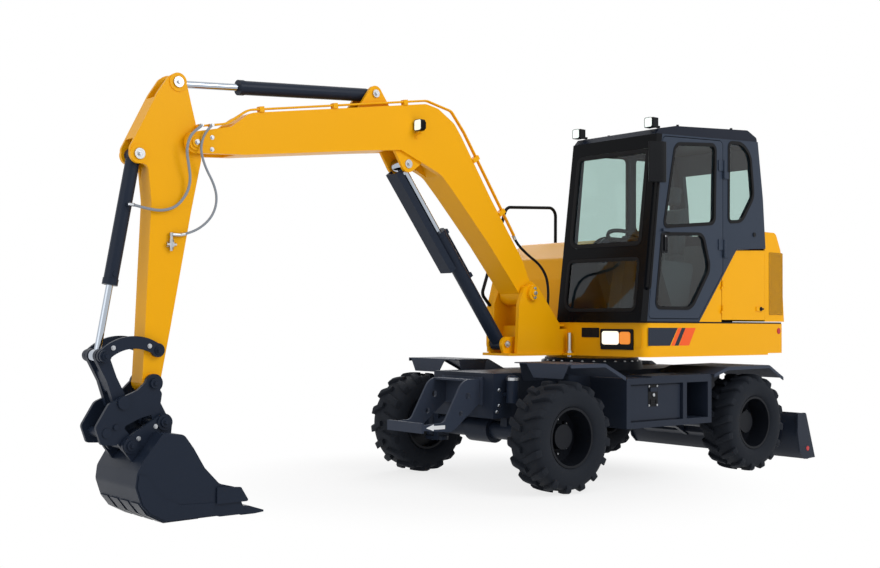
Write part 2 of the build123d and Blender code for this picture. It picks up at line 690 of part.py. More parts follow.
with BuildPart() as blade_barrel:
    cylinder_barrel(BLADE_BASE, BLADE_EYE, 236, 32, 16, 32, 34, 18)
finish(blade_barrel, "blade_barrel")
with BuildPart() as blade_rod:
    cylinder_rod(BLADE_BASE, BLADE_EYE, 156, 16, 28, 34)
finish(blade_rod, "blade_rod")

# Upper frame: deck, skirt band, tongue, boom bracket and the boom cylinder's ears
band_slope = (BAND_FRONT - BAND_FRONT_CORNER) / (BODY_HALF - 250)
plan_rows = (
    (BAND_FRONT_CORNER, BODY_HALF, 70),
    (BAND_FRONT, 250, 60),
    (BAND_FRONT, -250, 60),
    (BAND_FRONT_CORNER, -BODY_HALF, 70),
    (WEIGHT_FRONT, -BODY_HALF, 0),
    (WEIGHT_FRONT, BODY_HALF, 0),
)
inner_rows = (
    (BAND_FRONT_CORNER - BAND_SHEET, BODY_HALF - BAND_SHEET, 56),
    (BAND_FRONT - BAND_SHEET, 250, 46),
    (BAND_FRONT - BAND_SHEET, -250, 46),
    (BAND_FRONT_CORNER - BAND_SHEET, BAND_SHEET - BODY_HALF, 56),
    (WEIGHT_FRONT - 1, BAND_SHEET - BODY_HALF, 0),
    (WEIGHT_FRONT - 1, BODY_HALF - BAND_SHEET, 0),
)
with BuildPart() as upper_frame:
    sheet(plan_rows, DECK_BOTTOM, BAND_TOP)
    sheet(inner_rows, DECK_BOTTOM + DECK_PLATE, BAND_TOP, mode=Mode.SUBTRACT)
    post((0, 0), RING_RADIUS - 12, RING_SPLIT + PIN_GAP, DECK_BOTTOM)
    post((0, 0), RING_BORE, RING_SPLIT, DECK_BOTTOM + DECK_PLATE, mode=Mode.SUBTRACT)
    tongue_rows = (
        (300, TONGUE_HALF, 0),
        (TONGUE_FRONT, TONGUE_HALF, 40),
        (TONGUE_FRONT, -TONGUE_HALF, 40),
        (300, -TONGUE_HALF, 0),
    )
    sheet(tongue_rows, DECK_BOTTOM, DECK_BOTTOM + DECK_PLATE)
    sheet(((440, 264, 0), (540, 240, 30), (540, 160, 30), (440, 160, 0)), DECK_BOTTOM, DECK_BOTTOM + DECK_PLATE)
    post((502, 218), 17 + PIN_GAP, DECK_BOTTOM, DECK_BOTTOM + DECK_PLATE, mode=Mode.SUBTRACT)
    bracket_rows = (
        (560, DECK_BOTTOM, 0),
        (560, 1240, 0),
        (812, 1540, 20),
        (BRACKET_FRONT - 60, 1540, 20),
        (BRACKET_FRONT, 1400, 60),
        (1041, DECK_BOTTOM, 0),
    )
    for low, high in both(BRACKET_INNER, BRACKET_INNER + BRACKET_PLATE):
        slab(bracket_rows, low, high)
        bar(FOOT, 75, low, high)
    for low, high in both(BRACKET_INNER, BRACKET_INNER + 62):
        bar(FOOT, 60, low, high)
    bar(FOOT, PIN_RADIUS + 5, -BRACKET_INNER - 66, BRACKET_INNER + 66)
    inside = (-BRACKET_INNER, BRACKET_INNER)
    block((564, 582), inside, (DECK_BOTTOM, 1240))
    slab(((940, DECK_BOTTOM, 0), (900, 1225, 0), (918, 1225, 0), (958, DECK_BOTTOM, 0)), *inside)
    block((380, 566), inside, (1221, 1240))
    for low, high in both(64, 90):
        link(((*BOOM_BASE, 58), (1100, 1000, 14), (940, 1000, 14), (930, 1120, 14)), low, high)
    bar(BOOM_BASE, SMALL_PIN_RADIUS, -96, 96)
    block((380, 560), (BRACKET_INNER, BRACKET_INNER + BRACKET_PLATE), (DECK_BOTTOM, 1200))
    block((380, 560), (-BRACKET_INNER - BRACKET_PLATE, -BRACKET_INNER), (DECK_BOTTOM, 1200))
finish(upper_frame, "upper_frame")

# Slewing lock: its silver post and handle beside the boom bracket
with BuildPart() as swing_lock:
    post((502, 218), 17, DECK_BOTTOM - 12, 1168)
    post((502, 218), 27, DECK_BOTTOM + DECK_PLATE, DECK_BOTTOM + DECK_PLATE + 16)
finish(swing_lock, "swing_lock")

# Dark seat between the band and the covers
with BuildPart() as upper_seat:
    seat_rows = (
        (BAND_FRONT_CORNER - 6, BODY_HALF - 6, 64),
        (BAND_FRONT - 6, 250, 54),
        (BAND_FRONT - 6, -250, 54),
        (BAND_FRONT_CORNER - 6, 6 - BODY_HALF, 64),
        (REAR_X + 20, 6 - BODY_HALF, 40),
        (REAR_X + 20, BODY_HALF - 6, 40),
    )
    sheet(seat_rows, BAND_TOP, CAB_BOTTOM)
    bay = BODY_HALF - 75
    bay_rows = ((-600, bay, 30), (-600, -bay, 30), (-1215, -bay, 30), (-1215, bay, 30))
    sheet(bay_rows, BAND_TOP, CAB_BOTTOM, mode=Mode.SUBTRACT)
finish(upper_seat, "upper_seat")

# Counterweight: bulged casting behind the deck
with BuildPart() as counterweight:
    with BuildSketch(level(DECK_BOTTOM + DECK_PLATE - 6)) as weight_plan:
        with BuildLine():
            corner = 70
            left = Line((WEIGHT_FRONT, BODY_HALF), (REAR_X + corner, BODY_HALF))
            rear = ThreePointArc((REAR_X, BODY_HALF - corner), (REAR_X - REAR_BULGE, 0), (REAR_X, corner - BODY_HALF))
            right = Line((REAR_X + corner, -BODY_HALF), (WEIGHT_FRONT, -BODY_HALF))
            RadiusArc(left @ 1, rear @ 0, -corner)
            RadiusArc(rear @ 1, right @ 0, -corner)
            Line(right @ 1, left @ 0)
        make_face()
    extrude(weight_plan.sketch, amount=BAND_TOP - DECK_BOTTOM - DECK_PLATE + 6)
finish(counterweight, "counterweight")

# Engine, one plain block in its bay
with BuildPart() as engine_block:
    block((-1150, -640), (40, 620), (DECK_BOTTOM + DECK_PLATE, 1500))
finish(engine_block, "engine_block")

# Right housing: hollow cover over tank and cooler
with BuildPart() as right_housing:
    housing_rows = (
        (400, CAB_BOTTOM, 0),
        (300, 1620, 60),
        (191, 1803, 60),
        (-73, 1967, 60),
        (-300, 1990, 60),
        (-1178, 2040, 0),
        (-1178, CAB_BOTTOM, 0),
    )
    slab(housing_rows, -BODY_HALF, 20)
    hollow_rows = (
        (380, CAB_BOTTOM - 1, 0),
        (282, 1612, 40),
        (177, 1788, 40),
        (-77, 1947, 40),
        (-302, 1970, 40),
        (-1179, 2020, 0),
        (-1179, CAB_BOTTOM - 1, 0),
    )
    slab(hollow_rows, COVER_SHEET - BODY_HALF, 20 - COVER_SHEET, mode=Mode.SUBTRACT)
    for step in range(9):
        z = 1400 + step * 42
        block((-560, -300), (-BODY_HALF, COVER_SHEET - BODY_HALF), (z, z + 14), mode=Mode.SUBTRACT)
    for y in HOOD_HINGES:
        link(((*HOOD_HINGE, 9), (-1140, 2032, 6)), y, y + 24)
        bar(HOOD_HINGE, 5, y, y + 60)
finish(right_housing, "right_housing")

# Left fairing: fixed triangle below the cab door's slant
with BuildPart() as left_fairing:
    slab(((-258, CAB_BOTTOM, 0), (-565, 1634, 0), (-565, CAB_BOTTOM, 0)), BODY_HALF - 40, BODY_HALF)
    for z in ENGINE_HINGES:
        block((-571, -548), (BODY_HALF - 2, BODY_HALF + 16), (z, z + 20))
        post((-570, ENGINE_HINGE_Y), 5, z, z + 62)
finish(left_fairing, "left_fairing")

# Engine door
with BuildPart() as engine_door:
    door_rows = (
        (-573, 1284, 12),
        (-573, 1640, 0),
        (-764, 1868, 0),
        (-1178, 1888, 12),
        (-1178, 1284, 12),
    )
    slab(door_rows, BODY_HALF - COVER_SHEET, BODY_HALF)
    block((-1128, -1046), (BODY_HALF - 1, BODY_HALF + 9), (1362, 1398))
    for z in ENGINE_HINGES:
        block((-600, -574), (BODY_HALF - 2, BODY_HALF + 12), (z + 22, z + 60))
        post((-570, ENGINE_HINGE_Y), 9, z + 22, z + 60)
        post((-570, ENGINE_HINGE_Y), 5 + PIN_GAP, z + 22, z + 60, mode=Mode.SUBTRACT)
finish(engine_door, "engine_door")

# Rear hood: hinged shell with louvres low on both sides and at the back
with BuildPart() as rear_hood:
    hood_rows = (
        (-1187, 1272, 0),
        (-1187, 2050, 0),
        (-1350, 2049, 60),
        (-1425, 1895, 60),
        (-1475, 1272, 0),
    )
    hollow_rows = (
        (-1180, 1265, 0),
        (-1180, 2038, 0),
        (-1340, 2037, 48),
        (-1413, 1890, 48),
        (-1463, 1265, 0),
    )
    slab(hood_rows, 5 - BODY_HALF, BODY_HALF - 5)
    slab(hollow_rows, 17 - BODY_HALF, BODY_HALF - 17, mode=Mode.SUBTRACT)
    for step in range(13):
        z = 1340 + step * 40
        block((-1405, -1268), (-BODY_HALF, BODY_HALF), (z, z + 16), mode=Mode.SUBTRACT)
        block((-1500, -1400), (-600, 600), (z, z + 16), mode=Mode.SUBTRACT)
    for y in HOOD_HINGES:
        link(((*HOOD_HINGE, 9), (-1220, 2046, 6)), y + 26, y + 58)
        bar(HOOD_HINGE, 5 + PIN_GAP, y + 26, y + 58, mode=Mode.SUBTRACT)
finish(rear_hood, "rear_hood")

# Cab shell: folded walls with openings for the door and the panes
def glazed(share):
    """Height in the cab's glazed part: share 0 at its waist, 1 at the top of its front."""
    return CAB_WAIST + share * (CAB_FRONT_HEIGHT - CAB_WAIST)


cab_rows = (
    (CAB_FRONT_FOOT, CAB_BOTTOM),
    (CAB_FRONT_TOP, CAB_FRONT_HEIGHT),
    (-1060, CAB_REAR_HEIGHT),
    (-1135, glazed(0.5)),
    (-1170, CAB_WAIST),
    (-760, 1880),
    (-250, CAB_BOTTOM),
)
cab_door_rows = (
    (383, 1292, 30),
    (207, CAB_FRONT_HEIGHT - 16, 40),
    (DOOR_REAR + DOOR_GAP, CAB_FRONT_HEIGHT + 24, 40),
    (DOOR_REAR + DOOR_GAP, 1676, 20),
    (-242, 1292, 20),
)
front_lean = math.atan2(CAB_FRONT_FOOT - CAB_FRONT_TOP, CAB_FRONT_HEIGHT - CAB_BOTTOM)
screen = Plane(
    (SWING_X + CAB_FRONT_FOOT, 0, CAB_BOTTOM),
    x_dir=(0, 1, 0),
    z_dir=(math.cos(front_lean), 0, math.sin(front_lean)),
)
screen_right = CAB_RIGHT + 60
screen_left = CAB_LEFT - 60
screen_top = math.hypot(CAB_FRONT_FOOT - CAB_FRONT_TOP, CAB_FRONT_HEIGHT - CAB_BOTTOM) - 109
screen_upper = (
    (screen_right, 600, 90),
    (screen_right, screen_top, 60),
    (screen_left, screen_top, 60),
    (screen_left, 600, 60),
)
screen_lower = ((screen_right, 75, 100), (screen_right, 512, 60), (screen_left, 512, 60), (screen_left, 75, 60))
door_pane = (
    (205, 2013, 60),
    (60, CAB_FRONT_HEIGHT - 58, 60),
    (-470, CAB_FRONT_HEIGHT - 13, 60),
    (-455, 2077, 60),
)
door_low_pane = ((300, 1370, 60), (222, 1960, 60), (-300, 1985, 60), (-395, 1700, 60), (-150, 1370, 60))
quarter_pane = (
    (-641, CAB_FRONT_HEIGHT + 27, 50),
    (-840, CAB_FRONT_HEIGHT + 37, 50),
    (-960, CAB_FRONT_HEIGHT - 58, 50),
    (-1003, glazed(0.518), 50),
    (-831, glazed(0.257), 50),
    (-636, glazed(0.235), 50),
)
right_front_pane = (
    (300, 1700, 60),
    (190, CAB_FRONT_HEIGHT - 68, 60),
    (-400, CAB_FRONT_HEIGHT - 38, 60),
    (-400, 1980, 60),
    (-60, 1980, 60),
)
right_rear_pane = (
    (-470, CAB_FRONT_HEIGHT - 38, 60),
    (-960, CAB_FRONT_HEIGHT - 18, 60),
    (-1010, glazed(0.518), 60),
    (-1010, glazed(0.211), 60),
    (-470, glazed(0.176), 60),
)
rear_pane = (
    (CAB_RIGHT + 100, 2040, 60),
    (CAB_RIGHT + 100, CAB_FRONT_HEIGHT - 48, 60),
    (CAB_LEFT - 100, CAB_FRONT_HEIGHT - 48, 60),
    (CAB_LEFT - 100, 2040, 60),
)
side_panes = (
    (quarter_pane, CAB_LEFT - CAB_WALL, CAB_LEFT, CAB_LEFT - 20),
    (right_front_pane, CAB_RIGHT, CAB_RIGHT + CAB_WALL, CAB_RIGHT + 12),
    (right_rear_pane, CAB_RIGHT, CAB_RIGHT + CAB_WALL, CAB_RIGHT + 12),
)
with BuildPart() as cab_shell:
    slab([(x, z, 0) for x, z in cab_rows], CAB_RIGHT, CAB_LEFT)
    with BuildSketch(side(CAB_LEFT - CAB_WALL)) as room:
        with BuildLine():
            Polyline(*cab_rows, close=True)
        make_face()
        offset(amount=-CAB_WALL, kind=Kind.INTERSECTION, mode=Mode.REPLACE)
    extrude(room.sketch, amount=CAB_LEFT - CAB_RIGHT - 2 * CAB_WALL, mode=Mode.SUBTRACT)
    with BuildSketch(side(CAB_LEFT + 1)) as doorway:
        with BuildLine():
            FilletPolyline(*[r[:2] for r in cab_door_rows], radius=[r[2] for r in cab_door_rows], close=True)
        make_face()
        offset(amount=DOOR_GAP, kind=Kind.ARC, mode=Mode.REPLACE)
    extrude(doorway.sketch, amount=CAB_WALL + 1, mode=Mode.SUBTRACT)
    for rows in (screen_upper, screen_lower):
        with BuildSketch(screen.offset(20)) as opening:
            with BuildLine():
                FilletPolyline(*[r[:2] for r in rows], radius=[r[2] for r in rows], close=True)
            make_face()
        extrude(opening.sketch, amount=-90, mode=Mode.SUBTRACT)
    for rows, low, high, glass_low in side_panes:
        slab(rows, low, high, mode=Mode.SUBTRACT)
    wall(rear_pane, -1200, -1050, mode=Mode.SUBTRACT)
    for z in DOOR_HINGES:
        block((DOOR_HINGE_X - 64, DOOR_HINGE_X), (CAB_LEFT - 1, CAB_LEFT + 8), (z, z + 60))
        post((DOOR_HINGE_X, DOOR_HINGE_Y), 12, z, z + 60)
        post((DOOR_HINGE_X, DOOR_HINGE_Y), 6, z, z + 150)
finish(cab_shell, "cab_shell")

# Cab glass
with BuildPart() as cab_glass:
    for rows in (screen_upper, screen_lower):
        with BuildSketch(screen.offset(-10)) as pane:
            with BuildLine():
                FilletPolyline(*[r[:2] for r in rows], radius=[r[2] for r in rows], close=True)
            make_face()
        extrude(pane.sketch, amount=-GLASS)
    for rows, low, high, glass_low in side_panes:
        slab(rows, glass_low, glass_low + GLASS)
    with BuildSketch(side(CAB_LEFT - 100)) as rear_glass:
        with BuildLine():
            Polyline(
                (-1066, CAB_FRONT_HEIGHT - 48),
                (-1123, glazed(0.5)),
                (-1146, 2040),
                (-1138, 2040),
                (-1115, glazed(0.5)),
                (-1058, CAB_FRONT_HEIGHT - 48),
                close=True,
            )
        make_face()
    extrude(rear_glass.sketch, amount=CAB_LEFT - CAB_RIGHT - 200)
    with BuildSketch(across(-1200)) as rear_cut:
        Rectangle(3000, 6000)
        with BuildLine():
            FilletPolyline(*[r[:2] for r in rear_pane], radius=[r[2] for r in rear_pane], close=True)
        make_face(mode=Mode.SUBTRACT)
    extrude(rear_cut.sketch, amount=150, mode=Mode.SUBTRACT)
finish(cab_glass, "cab_glass")

# Cab door with its panes
with BuildPart() as cab_door:
    slab(cab_door_rows, CAB_LEFT - CAB_WALL, CAB_LEFT)
    slab(door_pane, CAB_LEFT - CAB_WALL, CAB_LEFT, mode=Mode.SUBTRACT)
    slab(door_low_pane, CAB_LEFT - CAB_WALL, CAB_LEFT, mode=Mode.SUBTRACT)
    block((130, 230), (CAB_LEFT - 1, CAB_LEFT + 22), (1975, 1998))
    for z in DOOR_HINGES:
        block((DOOR_HINGE_X + 7, -500), (CAB_LEFT - 1, CAB_LEFT + 8), (z + 62, z + 150))
        post((DOOR_HINGE_X, DOOR_HINGE_Y), 12, z + 62, z + 150)
        post((DOOR_HINGE_X, DOOR_HINGE_Y), 6 + PIN_GAP, z + 62, z + 150, mode=Mode.SUBTRACT)
finish(cab_door, "cab_door")
with BuildPart() as door_glass:
    for rows in (door_pane, door_low_pane):
        slab(rows, CAB_LEFT - 20, CAB_LEFT - 20 + GLASS)
finish(door_glass, "door_glass")

# Cab roof cap
with BuildPart() as cab_roof:
    roof_rows = (
        (CAB_FRONT_TOP, CAB_FRONT_HEIGHT, 0),
        (240, CAB_FRONT_HEIGHT + 47, 20),
        (43, CAB_FRONT_HEIGHT + 86, 60),
        (-926, CAB_REAR_HEIGHT + 87, 60),
        (-1060, CAB_REAR_HEIGHT + 32, 30),
        (-1060, CAB_REAR_HEIGHT, 0),
    )
    slab(roof_rows, CAB_RIGHT + 10, CAB_LEFT - 10)
finish(cab_roof, "cab_roof")

# Cab floor, seat, consoles and steering column
with BuildPart() as seat:
    seat_right = CAB_RIGHT + 210
    seat_left = CAB_LEFT - 210
    block((-210, 60), (seat_right + 110, seat_left - 110), (1311, 1480))
    slab(((-330, 1480, 20), (86, 1480, 20), (92, 1600, 40), (-330, 1590, 0)), seat_right, seat_left)
    back_rows = ((-330, 1570, 0), (-210, 1570, 0), (-350, glazed(0.412), 40), (-450, glazed(0.4), 40))
    slab(back_rows, seat_right + 10, seat_left - 10)
    rest_rows = ((-366, glazed(0.4), 0), (-450, glazed(0.4), 0), (-470, glazed(0.613), 40), (-390, glazed(0.613), 40))
    slab(rest_rows, seat_right + 110, seat_left - 110)
finish(seat, "seat")
with BuildPart() as console:
    for low, high in ((CAB_RIGHT + 100, CAB_RIGHT + 200), (CAB_LEFT - 200, CAB_LEFT - 100)):
        slab(((-205, 1311, 0), (-310, 1740, 40), (100, 1760, 40), (100, 1660, 20), (-60, 1311, 0)), low, high)
        post((20, (low + high) / 2), 12, 1750, 1850)
        post((20, (low + high) / 2), 26, 1840, 1920)
    column_rows = ((120, 1311, 0), (300, 1311, 0), (170, 1900, 30), (90, 1880, 30))
    slab(column_rows, CAB_MIDDLE - 60, CAB_MIDDLE + 60)
    with BuildSketch(Plane((SWING_X + 118, CAB_MIDDLE, 1925), x_dir=(0, 1, 0), z_dir=(-0.45, 0, 1))) as wheel:
        Circle(180)
        Circle(156, mode=Mode.SUBTRACT)
        Rectangle(330, 40)
        Circle(50)
    extrude(wheel.sketch, amount=24)
    neck_rows = ((95, 1870, 0), (165, 1890, 0), (150, 1945, 0), (80, 1925, 0))
    slab(neck_rows, CAB_MIDDLE - 30, CAB_MIDDLE + 30)
finish(console, "console")

# Left mirror on its arm
with BuildPart() as mirror:
    top = CAB_FRONT_HEIGHT - 78
    outer = CAB_LEFT + 86
    mirror_rows = ((268, outer - 26, 9), (268, outer, 12), (318, outer, 40), (414, outer - 60, 9), (398, outer - 78, 8))
    sheet(mirror_rows, top - 316, top)
    block((276, 324), (CAB_LEFT, CAB_LEFT + 50), (top - 70, top - 52))
finish(mirror, "mirror")

# Handrails: long rail on the right housing and the grab bar along the left front pillar
with BuildPart() as handrails:
    rail_y = 45 - BODY_HALF
    rail_rows = ((371, 1400), (470, 1500), (175, 2300), (-465, 2337), (-465, 2001))
    rail = [(x, rail_y, z) for x, z in rail_rows]
    tube(rail, [60, 80, 80], 15)
    grab_top = CAB_FRONT_HEIGHT - 168
    grab = (
        (400, CAB_LEFT, 1520),
        (400, CAB_LEFT + 26, 1520),
        (268, CAB_LEFT + 26, grab_top),
        (268, CAB_LEFT, grab_top),
    )
    tube(grab, [20, 20], 11)
finish(handrails, "handrails")

# Lamps in the band's front and on the roof
with BuildPart() as lamps:
    for hand in (1, -1):
        near = BAND_FRONT - (LAMP_INNER - 250) * band_slope
        far = BAND_FRONT - (LAMP_OUTER - 250) * band_slope
        rows = [
            (near, hand * LAMP_INNER, 0),
            (near + 12, hand * LAMP_INNER, 0),
            (far + 12, hand * LAMP_OUTER, 0),
            (far, hand * LAMP_OUTER, 0),
        ]
        sheet(rows, 1041, 1193)
    roof_z = CAB_FRONT_HEIGHT + 52
    for y in (screen_right, screen_left):
        block((250, 312), (y - 45, y + 45), (roof_z, roof_z + 76))
        block((188, 262), (y - 12, y + 12), (roof_z + 6, roof_z + 22))
finish(lamps, "lamps")

# Boom: hollow box bent upward, forked at the arm, with lobes for its own cylinder and the arm's
boom_rows = (
    (830, 1520, 40),
    (943, 1752, 200),
    (1295, 2227, 0),
    (1601, 2676, 0),
    (1673, 2768, 100),
    (1834, 2864, 100),
    (1954, 2885, 100),
    (3470, 2636, 160),
    (3612, 2526, 60),
    (3880, 2466, 30),
    (3880, 2326, 30),
    (3497, 2352, 0),
    (2498, 2480, 200),
    (2187, 2516, 0),
    (1800, 2365, 200),
    (1648, 2216, 0),
    (1303, 1856, 0),
    (950, 1450, 40),
)
boom_hollow_rows = (
    (1010, 1750, 0),
    (1320, 2220, 0),
    (1660, 2680, 60),
    (1850, 2840, 60),
    (1950, 2862, 80),
    (3390, 2626, 60),
    (3500, 2540, 40),
    (3500, 2374, 0),
    (2510, 2498, 0),
    (2330, 2640, 60),
    (1880, 2600, 60),
    (1640, 2240, 0),
    (1300, 1878, 0),
    (1060, 1640, 0),
)
with BuildPart() as boom:
    slab(boom_rows, -BOOM_HALF, BOOM_HALF)
    bar(FOOT, 100, -BOOM_HALF, BOOM_HALF)
    slab(boom_hollow_rows, BOOM_PLATE - BOOM_HALF, BOOM_HALF - BOOM_PLATE, mode=Mode.SUBTRACT)
    bar(ARM_PIN, 70, -BOOM_HALF, BOOM_HALF)
    nose_rows = ((3560, 2200, 0), (3560, 2480, 0), (3585, 2700, 0), (4000, 2700, 0), (4000, 2200, 0))
    slab(nose_rows, -ARM_HALF - 10, ARM_HALF + 10, mode=Mode.SUBTRACT)
    pocket_rows = ((1700, 2200, 0), (1905, 2530, 60), (2260, 2590, 60), (2330, 2400, 0))
    slab(pocket_rows, -68, 68, mode=Mode.SUBTRACT)
    for low, high in both(70, 95):
        link(((*BOOM_EYE, 62), (1990, 2500, 60), (2230, 2580, 40)), low, high)
    for low, high in both(66, 95):
        bar(BOOM_EYE, PIN_RADIUS, low, high)
    for low, high in both(56, 82):
        link(((*ARM_BASE, 58), (2290, 2800, 30), (2530, 2770, 30)), low, high)
    for low, high in both(20, 88):
        bar(ARM_BASE, SMALL_PIN_RADIUS, low, high)
    for low, high in both(ARM_HALF + 6, BOOM_HALF + 12):
        bar(ARM_PIN, 52, low, high)
    bar(ARM_PIN, PIN_RADIUS, -BOOM_HALF - 16, BOOM_HALF + 16)
    bar(FOOT, PIN_RADIUS + 5 + PIN_GAP, -BOOM_HALF, BOOM_HALF, mode=Mode.SUBTRACT)
finish(boom, "boom")

# Pipes along the boom's top: two bent tubes on clamps, each ending in a fitting that faces left
with BuildPart() as boom_tubes:
    pipe_rows = ((1030, 1945), (1570, 2715), (1700, 2862), (1945, 2912), (3480, 2655), (3640, 2545))
    for y, end in ((97, (3846, 2506)), (113, (3769, 2516))):
        tube([(x, y, z) for x, z in (*pipe_rows, end)], [120, 60, 120, 160, 120], BOOM_PIPE_RADIUS)
        bar(end, 12, y - 9, PIPE_FACE)
    clamp_rows = ((1200, 2098.8, 352, 475, 66), (1480, 2498.5, 306, 449, 66), (2150, 2852.8, 1516, -249, 38), (2780, 2749.3, 1516, -249, 38), (3380, 2650.8, 1516, -249, 38))
    for x, z, dx, dz, reach in clamp_rows:
        skin = math.hypot(dx, dz)
        along = Vector(dx, dz) / skin
        out = Vector(-dz, dx) / skin
        foot = Vector(x, z) + out * 0.1
        corners = (foot - along * 18, foot + along * 18, foot + along * 18 + out * reach, foot - along * 18 + out * reach)
        slab([(corner.X, corner.Y, 0) for corner in corners], 86, 126)
finish(boom_tubes, "boom_tubes")

# Hose from the left pipe's lower end, looping back and down to the swing joint
foot_hose = (
    (1029.8, 97, 1944.7),
    (995.4, 97, 1895.6),
    (935, 90, 1849),
    (822, 75, 1786),
    (700, 62, 1730),
    (616, 60, 1640),
    (590, 60, 1530),
    (592, 60, 1410),
    (606, 60, 1290),
)
hose(foot_hose, FOOT_HOSE_RADIUS, "hose_foot")

# Work lamp on a bracket at the boom's left side
with BuildPart() as boom_lamp:
    lamp_low = BOOM_LAMP_Z - 42
    lamp_rows = [
        (BOOM_LAMP_Y - 42, lamp_low, 22),
        (BOOM_LAMP_Y + 42, lamp_low, 22),
        (BOOM_LAMP_Y + 42, lamp_low + 84, 22),
        (BOOM_LAMP_Y - 42, lamp_low + 84, 22),
    ]
    wall(lamp_rows, BOOM_LAMP_X - 34, BOOM_LAMP_X)
    back = (BOOM_LAMP_X - 52, BOOM_LAMP_X - 34)
    block(back, (BOOM_LAMP_Y - 26, BOOM_LAMP_Y + 26), (lamp_low + 16, lamp_low + 68))
    arm_x = (BOOM_LAMP_X - 40, BOOM_LAMP_X - 10)
    block(arm_x, (BOOM_HALF + 0.1, BOOM_LAMP_Y + 8), (lamp_low - 20, lamp_low - 14))
    block((BOOM_LAMP_X - 32, BOOM_LAMP_X - 18), (BOOM_LAMP_Y - 8, BOOM_LAMP_Y + 8), (lamp_low - 20, lamp_low + 8))
    block(arm_x, (BOOM_HALF + 0.1, BOOM_HALF + 6), (lamp_low - 52, lamp_low - 14))
finish(boom_lamp, "boom_lamp")

with BuildPart() as boom_barrel:
    cylinder_barrel(BOOM_BASE, BOOM_EYE, 1080, 55, 28, 50, 57, SMALL_PIN_RADIUS)
    for start, length in ((1020, 36), (610, 36)):
        with BuildSketch(pointing(BOOM_BASE, BOOM_EYE, start)) as port:
            with Locations((0, 62)):
                Rectangle(40, 44)
        extrude(port.sketch, amount=length)
    with BuildSketch(pointing(BOOM_BASE, BOOM_EYE, 640)) as pipe:
        with Locations((0, 74)):
            Circle(9)
    extrude(pipe.sketch, amount=390)
finish(boom_barrel, "boom_barrel")
with BuildPart() as boom_rod:
    cylinder_rod(BOOM_BASE, BOOM_EYE, 560, 28, 48, 58)
    with BuildSketch(pointing(BOOM_EYE, BOOM_BASE, 8)) as guard:
        with Locations((0, GUARD_OFFSET)):
            Rectangle(GUARD_WIDTH, 10)
        for y in (5 - GUARD_WIDTH / 2, GUARD_WIDTH / 2 - 5):
            with Locations((y, GUARD_OFFSET + 5 - GUARD_FLANGE / 2)):
                Rectangle(10, GUARD_FLANGE)
    extrude(guard.sketch, amount=GUARD_LENGTH)
    with BuildSketch(pointing(BOOM_EYE, BOOM_BASE, 40)) as stay:
        with Locations((0, GUARD_OFFSET / 2 + 12)):
            Rectangle(60, GUARD_OFFSET - 22)
    extrude(stay.sketch, amount=30)
finish(boom_rod, "boom_rod")

# Arm: hollow box hung in the boom's fork, with slotted lobes for its cylinder and the bucket's
arm_rows = (
    (4120, 2695, 100),
    (4045, 2810, 60),
    (3984, 2838, 60),
    (3924, 2800, 40),
    (3885, 2649, 0),
    (3853, 2534, 0),
    (3806, 2293, 60),
    (3832, 2165, 60),
    (3875, 1952, 0),
    (4011, 1194, 0),
    (4067, 902, 0),
    (4080, 830, 30),
    (4196, 830, 30),
    (4198, 859, 0),
    (4185, 1142, 0),
    (4153, 2001, 60),
    (4179, 2224, 40),
    (4230, 2236, 20),
    (4302, 2245, 50),
    (4302, 2330, 50),
)
arm_hollow_rows = (
    (4060, 2560, 40),
    (3920, 2560, 40),
    (3905, 2500, 0),
    (3900, 2140, 0),
    (3930, 1952, 0),
    (4062, 1194, 0),
    (4080, 1120, 0),
    (4150, 1120, 0),
    (4138, 2001, 0),
    (4120, 2440, 0),
)
with BuildPart() as arm:
    slab(arm_rows, -ARM_HALF, ARM_HALF)
    slab(arm_hollow_rows, ARM_PLATE - ARM_HALF, ARM_HALF - ARM_PLATE, mode=Mode.SUBTRACT)
    bar(ARM_PIN, 80, -ARM_HALF, ARM_HALF)
    bar(TIP, 60, -ARM_HALF - 10, ARM_HALF + 10)
    slab(((3850, 2640, 0), (3900, 2900, 0), (4200, 2900, 0), (4200, 2690, 0), (4060, 2640, 40)), -52, 52, mode=Mode.SUBTRACT)
    slab(((4170, 2120, 0), (4170, 2390, 20), (4400, 2390, 0), (4400, 2120, 0)), -52, 52, mode=Mode.SUBTRACT)
    for low, high in both(54, 82):
        bar(ARM_EYE, 60, low, high)
        bar(BUCKET_BASE, 60, low, high)
    for low, high in both(52, 86):
        bar(ARM_EYE, SMALL_PIN_RADIUS, low, high)
    for low, high in both(20, 86):
        bar(BUCKET_BASE, SMALL_PIN_RADIUS, low, high)
    bar(GUIDE, 48, -ARM_HALF - 4, ARM_HALF + 4)
    bar(GUIDE, SMALL_PIN_RADIUS, -112, 112)
    bar(ARM_PIN, PIN_RADIUS + PIN_GAP, -ARM_HALF, ARM_HALF, mode=Mode.SUBTRACT)
    bar(TIP, PIN_RADIUS + PIN_GAP, -ARM_HALF - 10, ARM_HALF + 10, mode=Mode.SUBTRACT)
finish(arm, "arm")

# Valve block low on the arm's left side, with its port facing back
with BuildPart() as arm_valve:
    block((3990, 4060), (ARM_HALF + 0.1, ARM_HALF + 29), (1690, 1810))
    with BuildSketch(across(3966)) as valve_port:
        with Locations((ARM_HALF + 19, 1795)):
            Circle(10)
    extrude(valve_port.sketch, amount=25)
finish(arm_valve, "arm_valve")

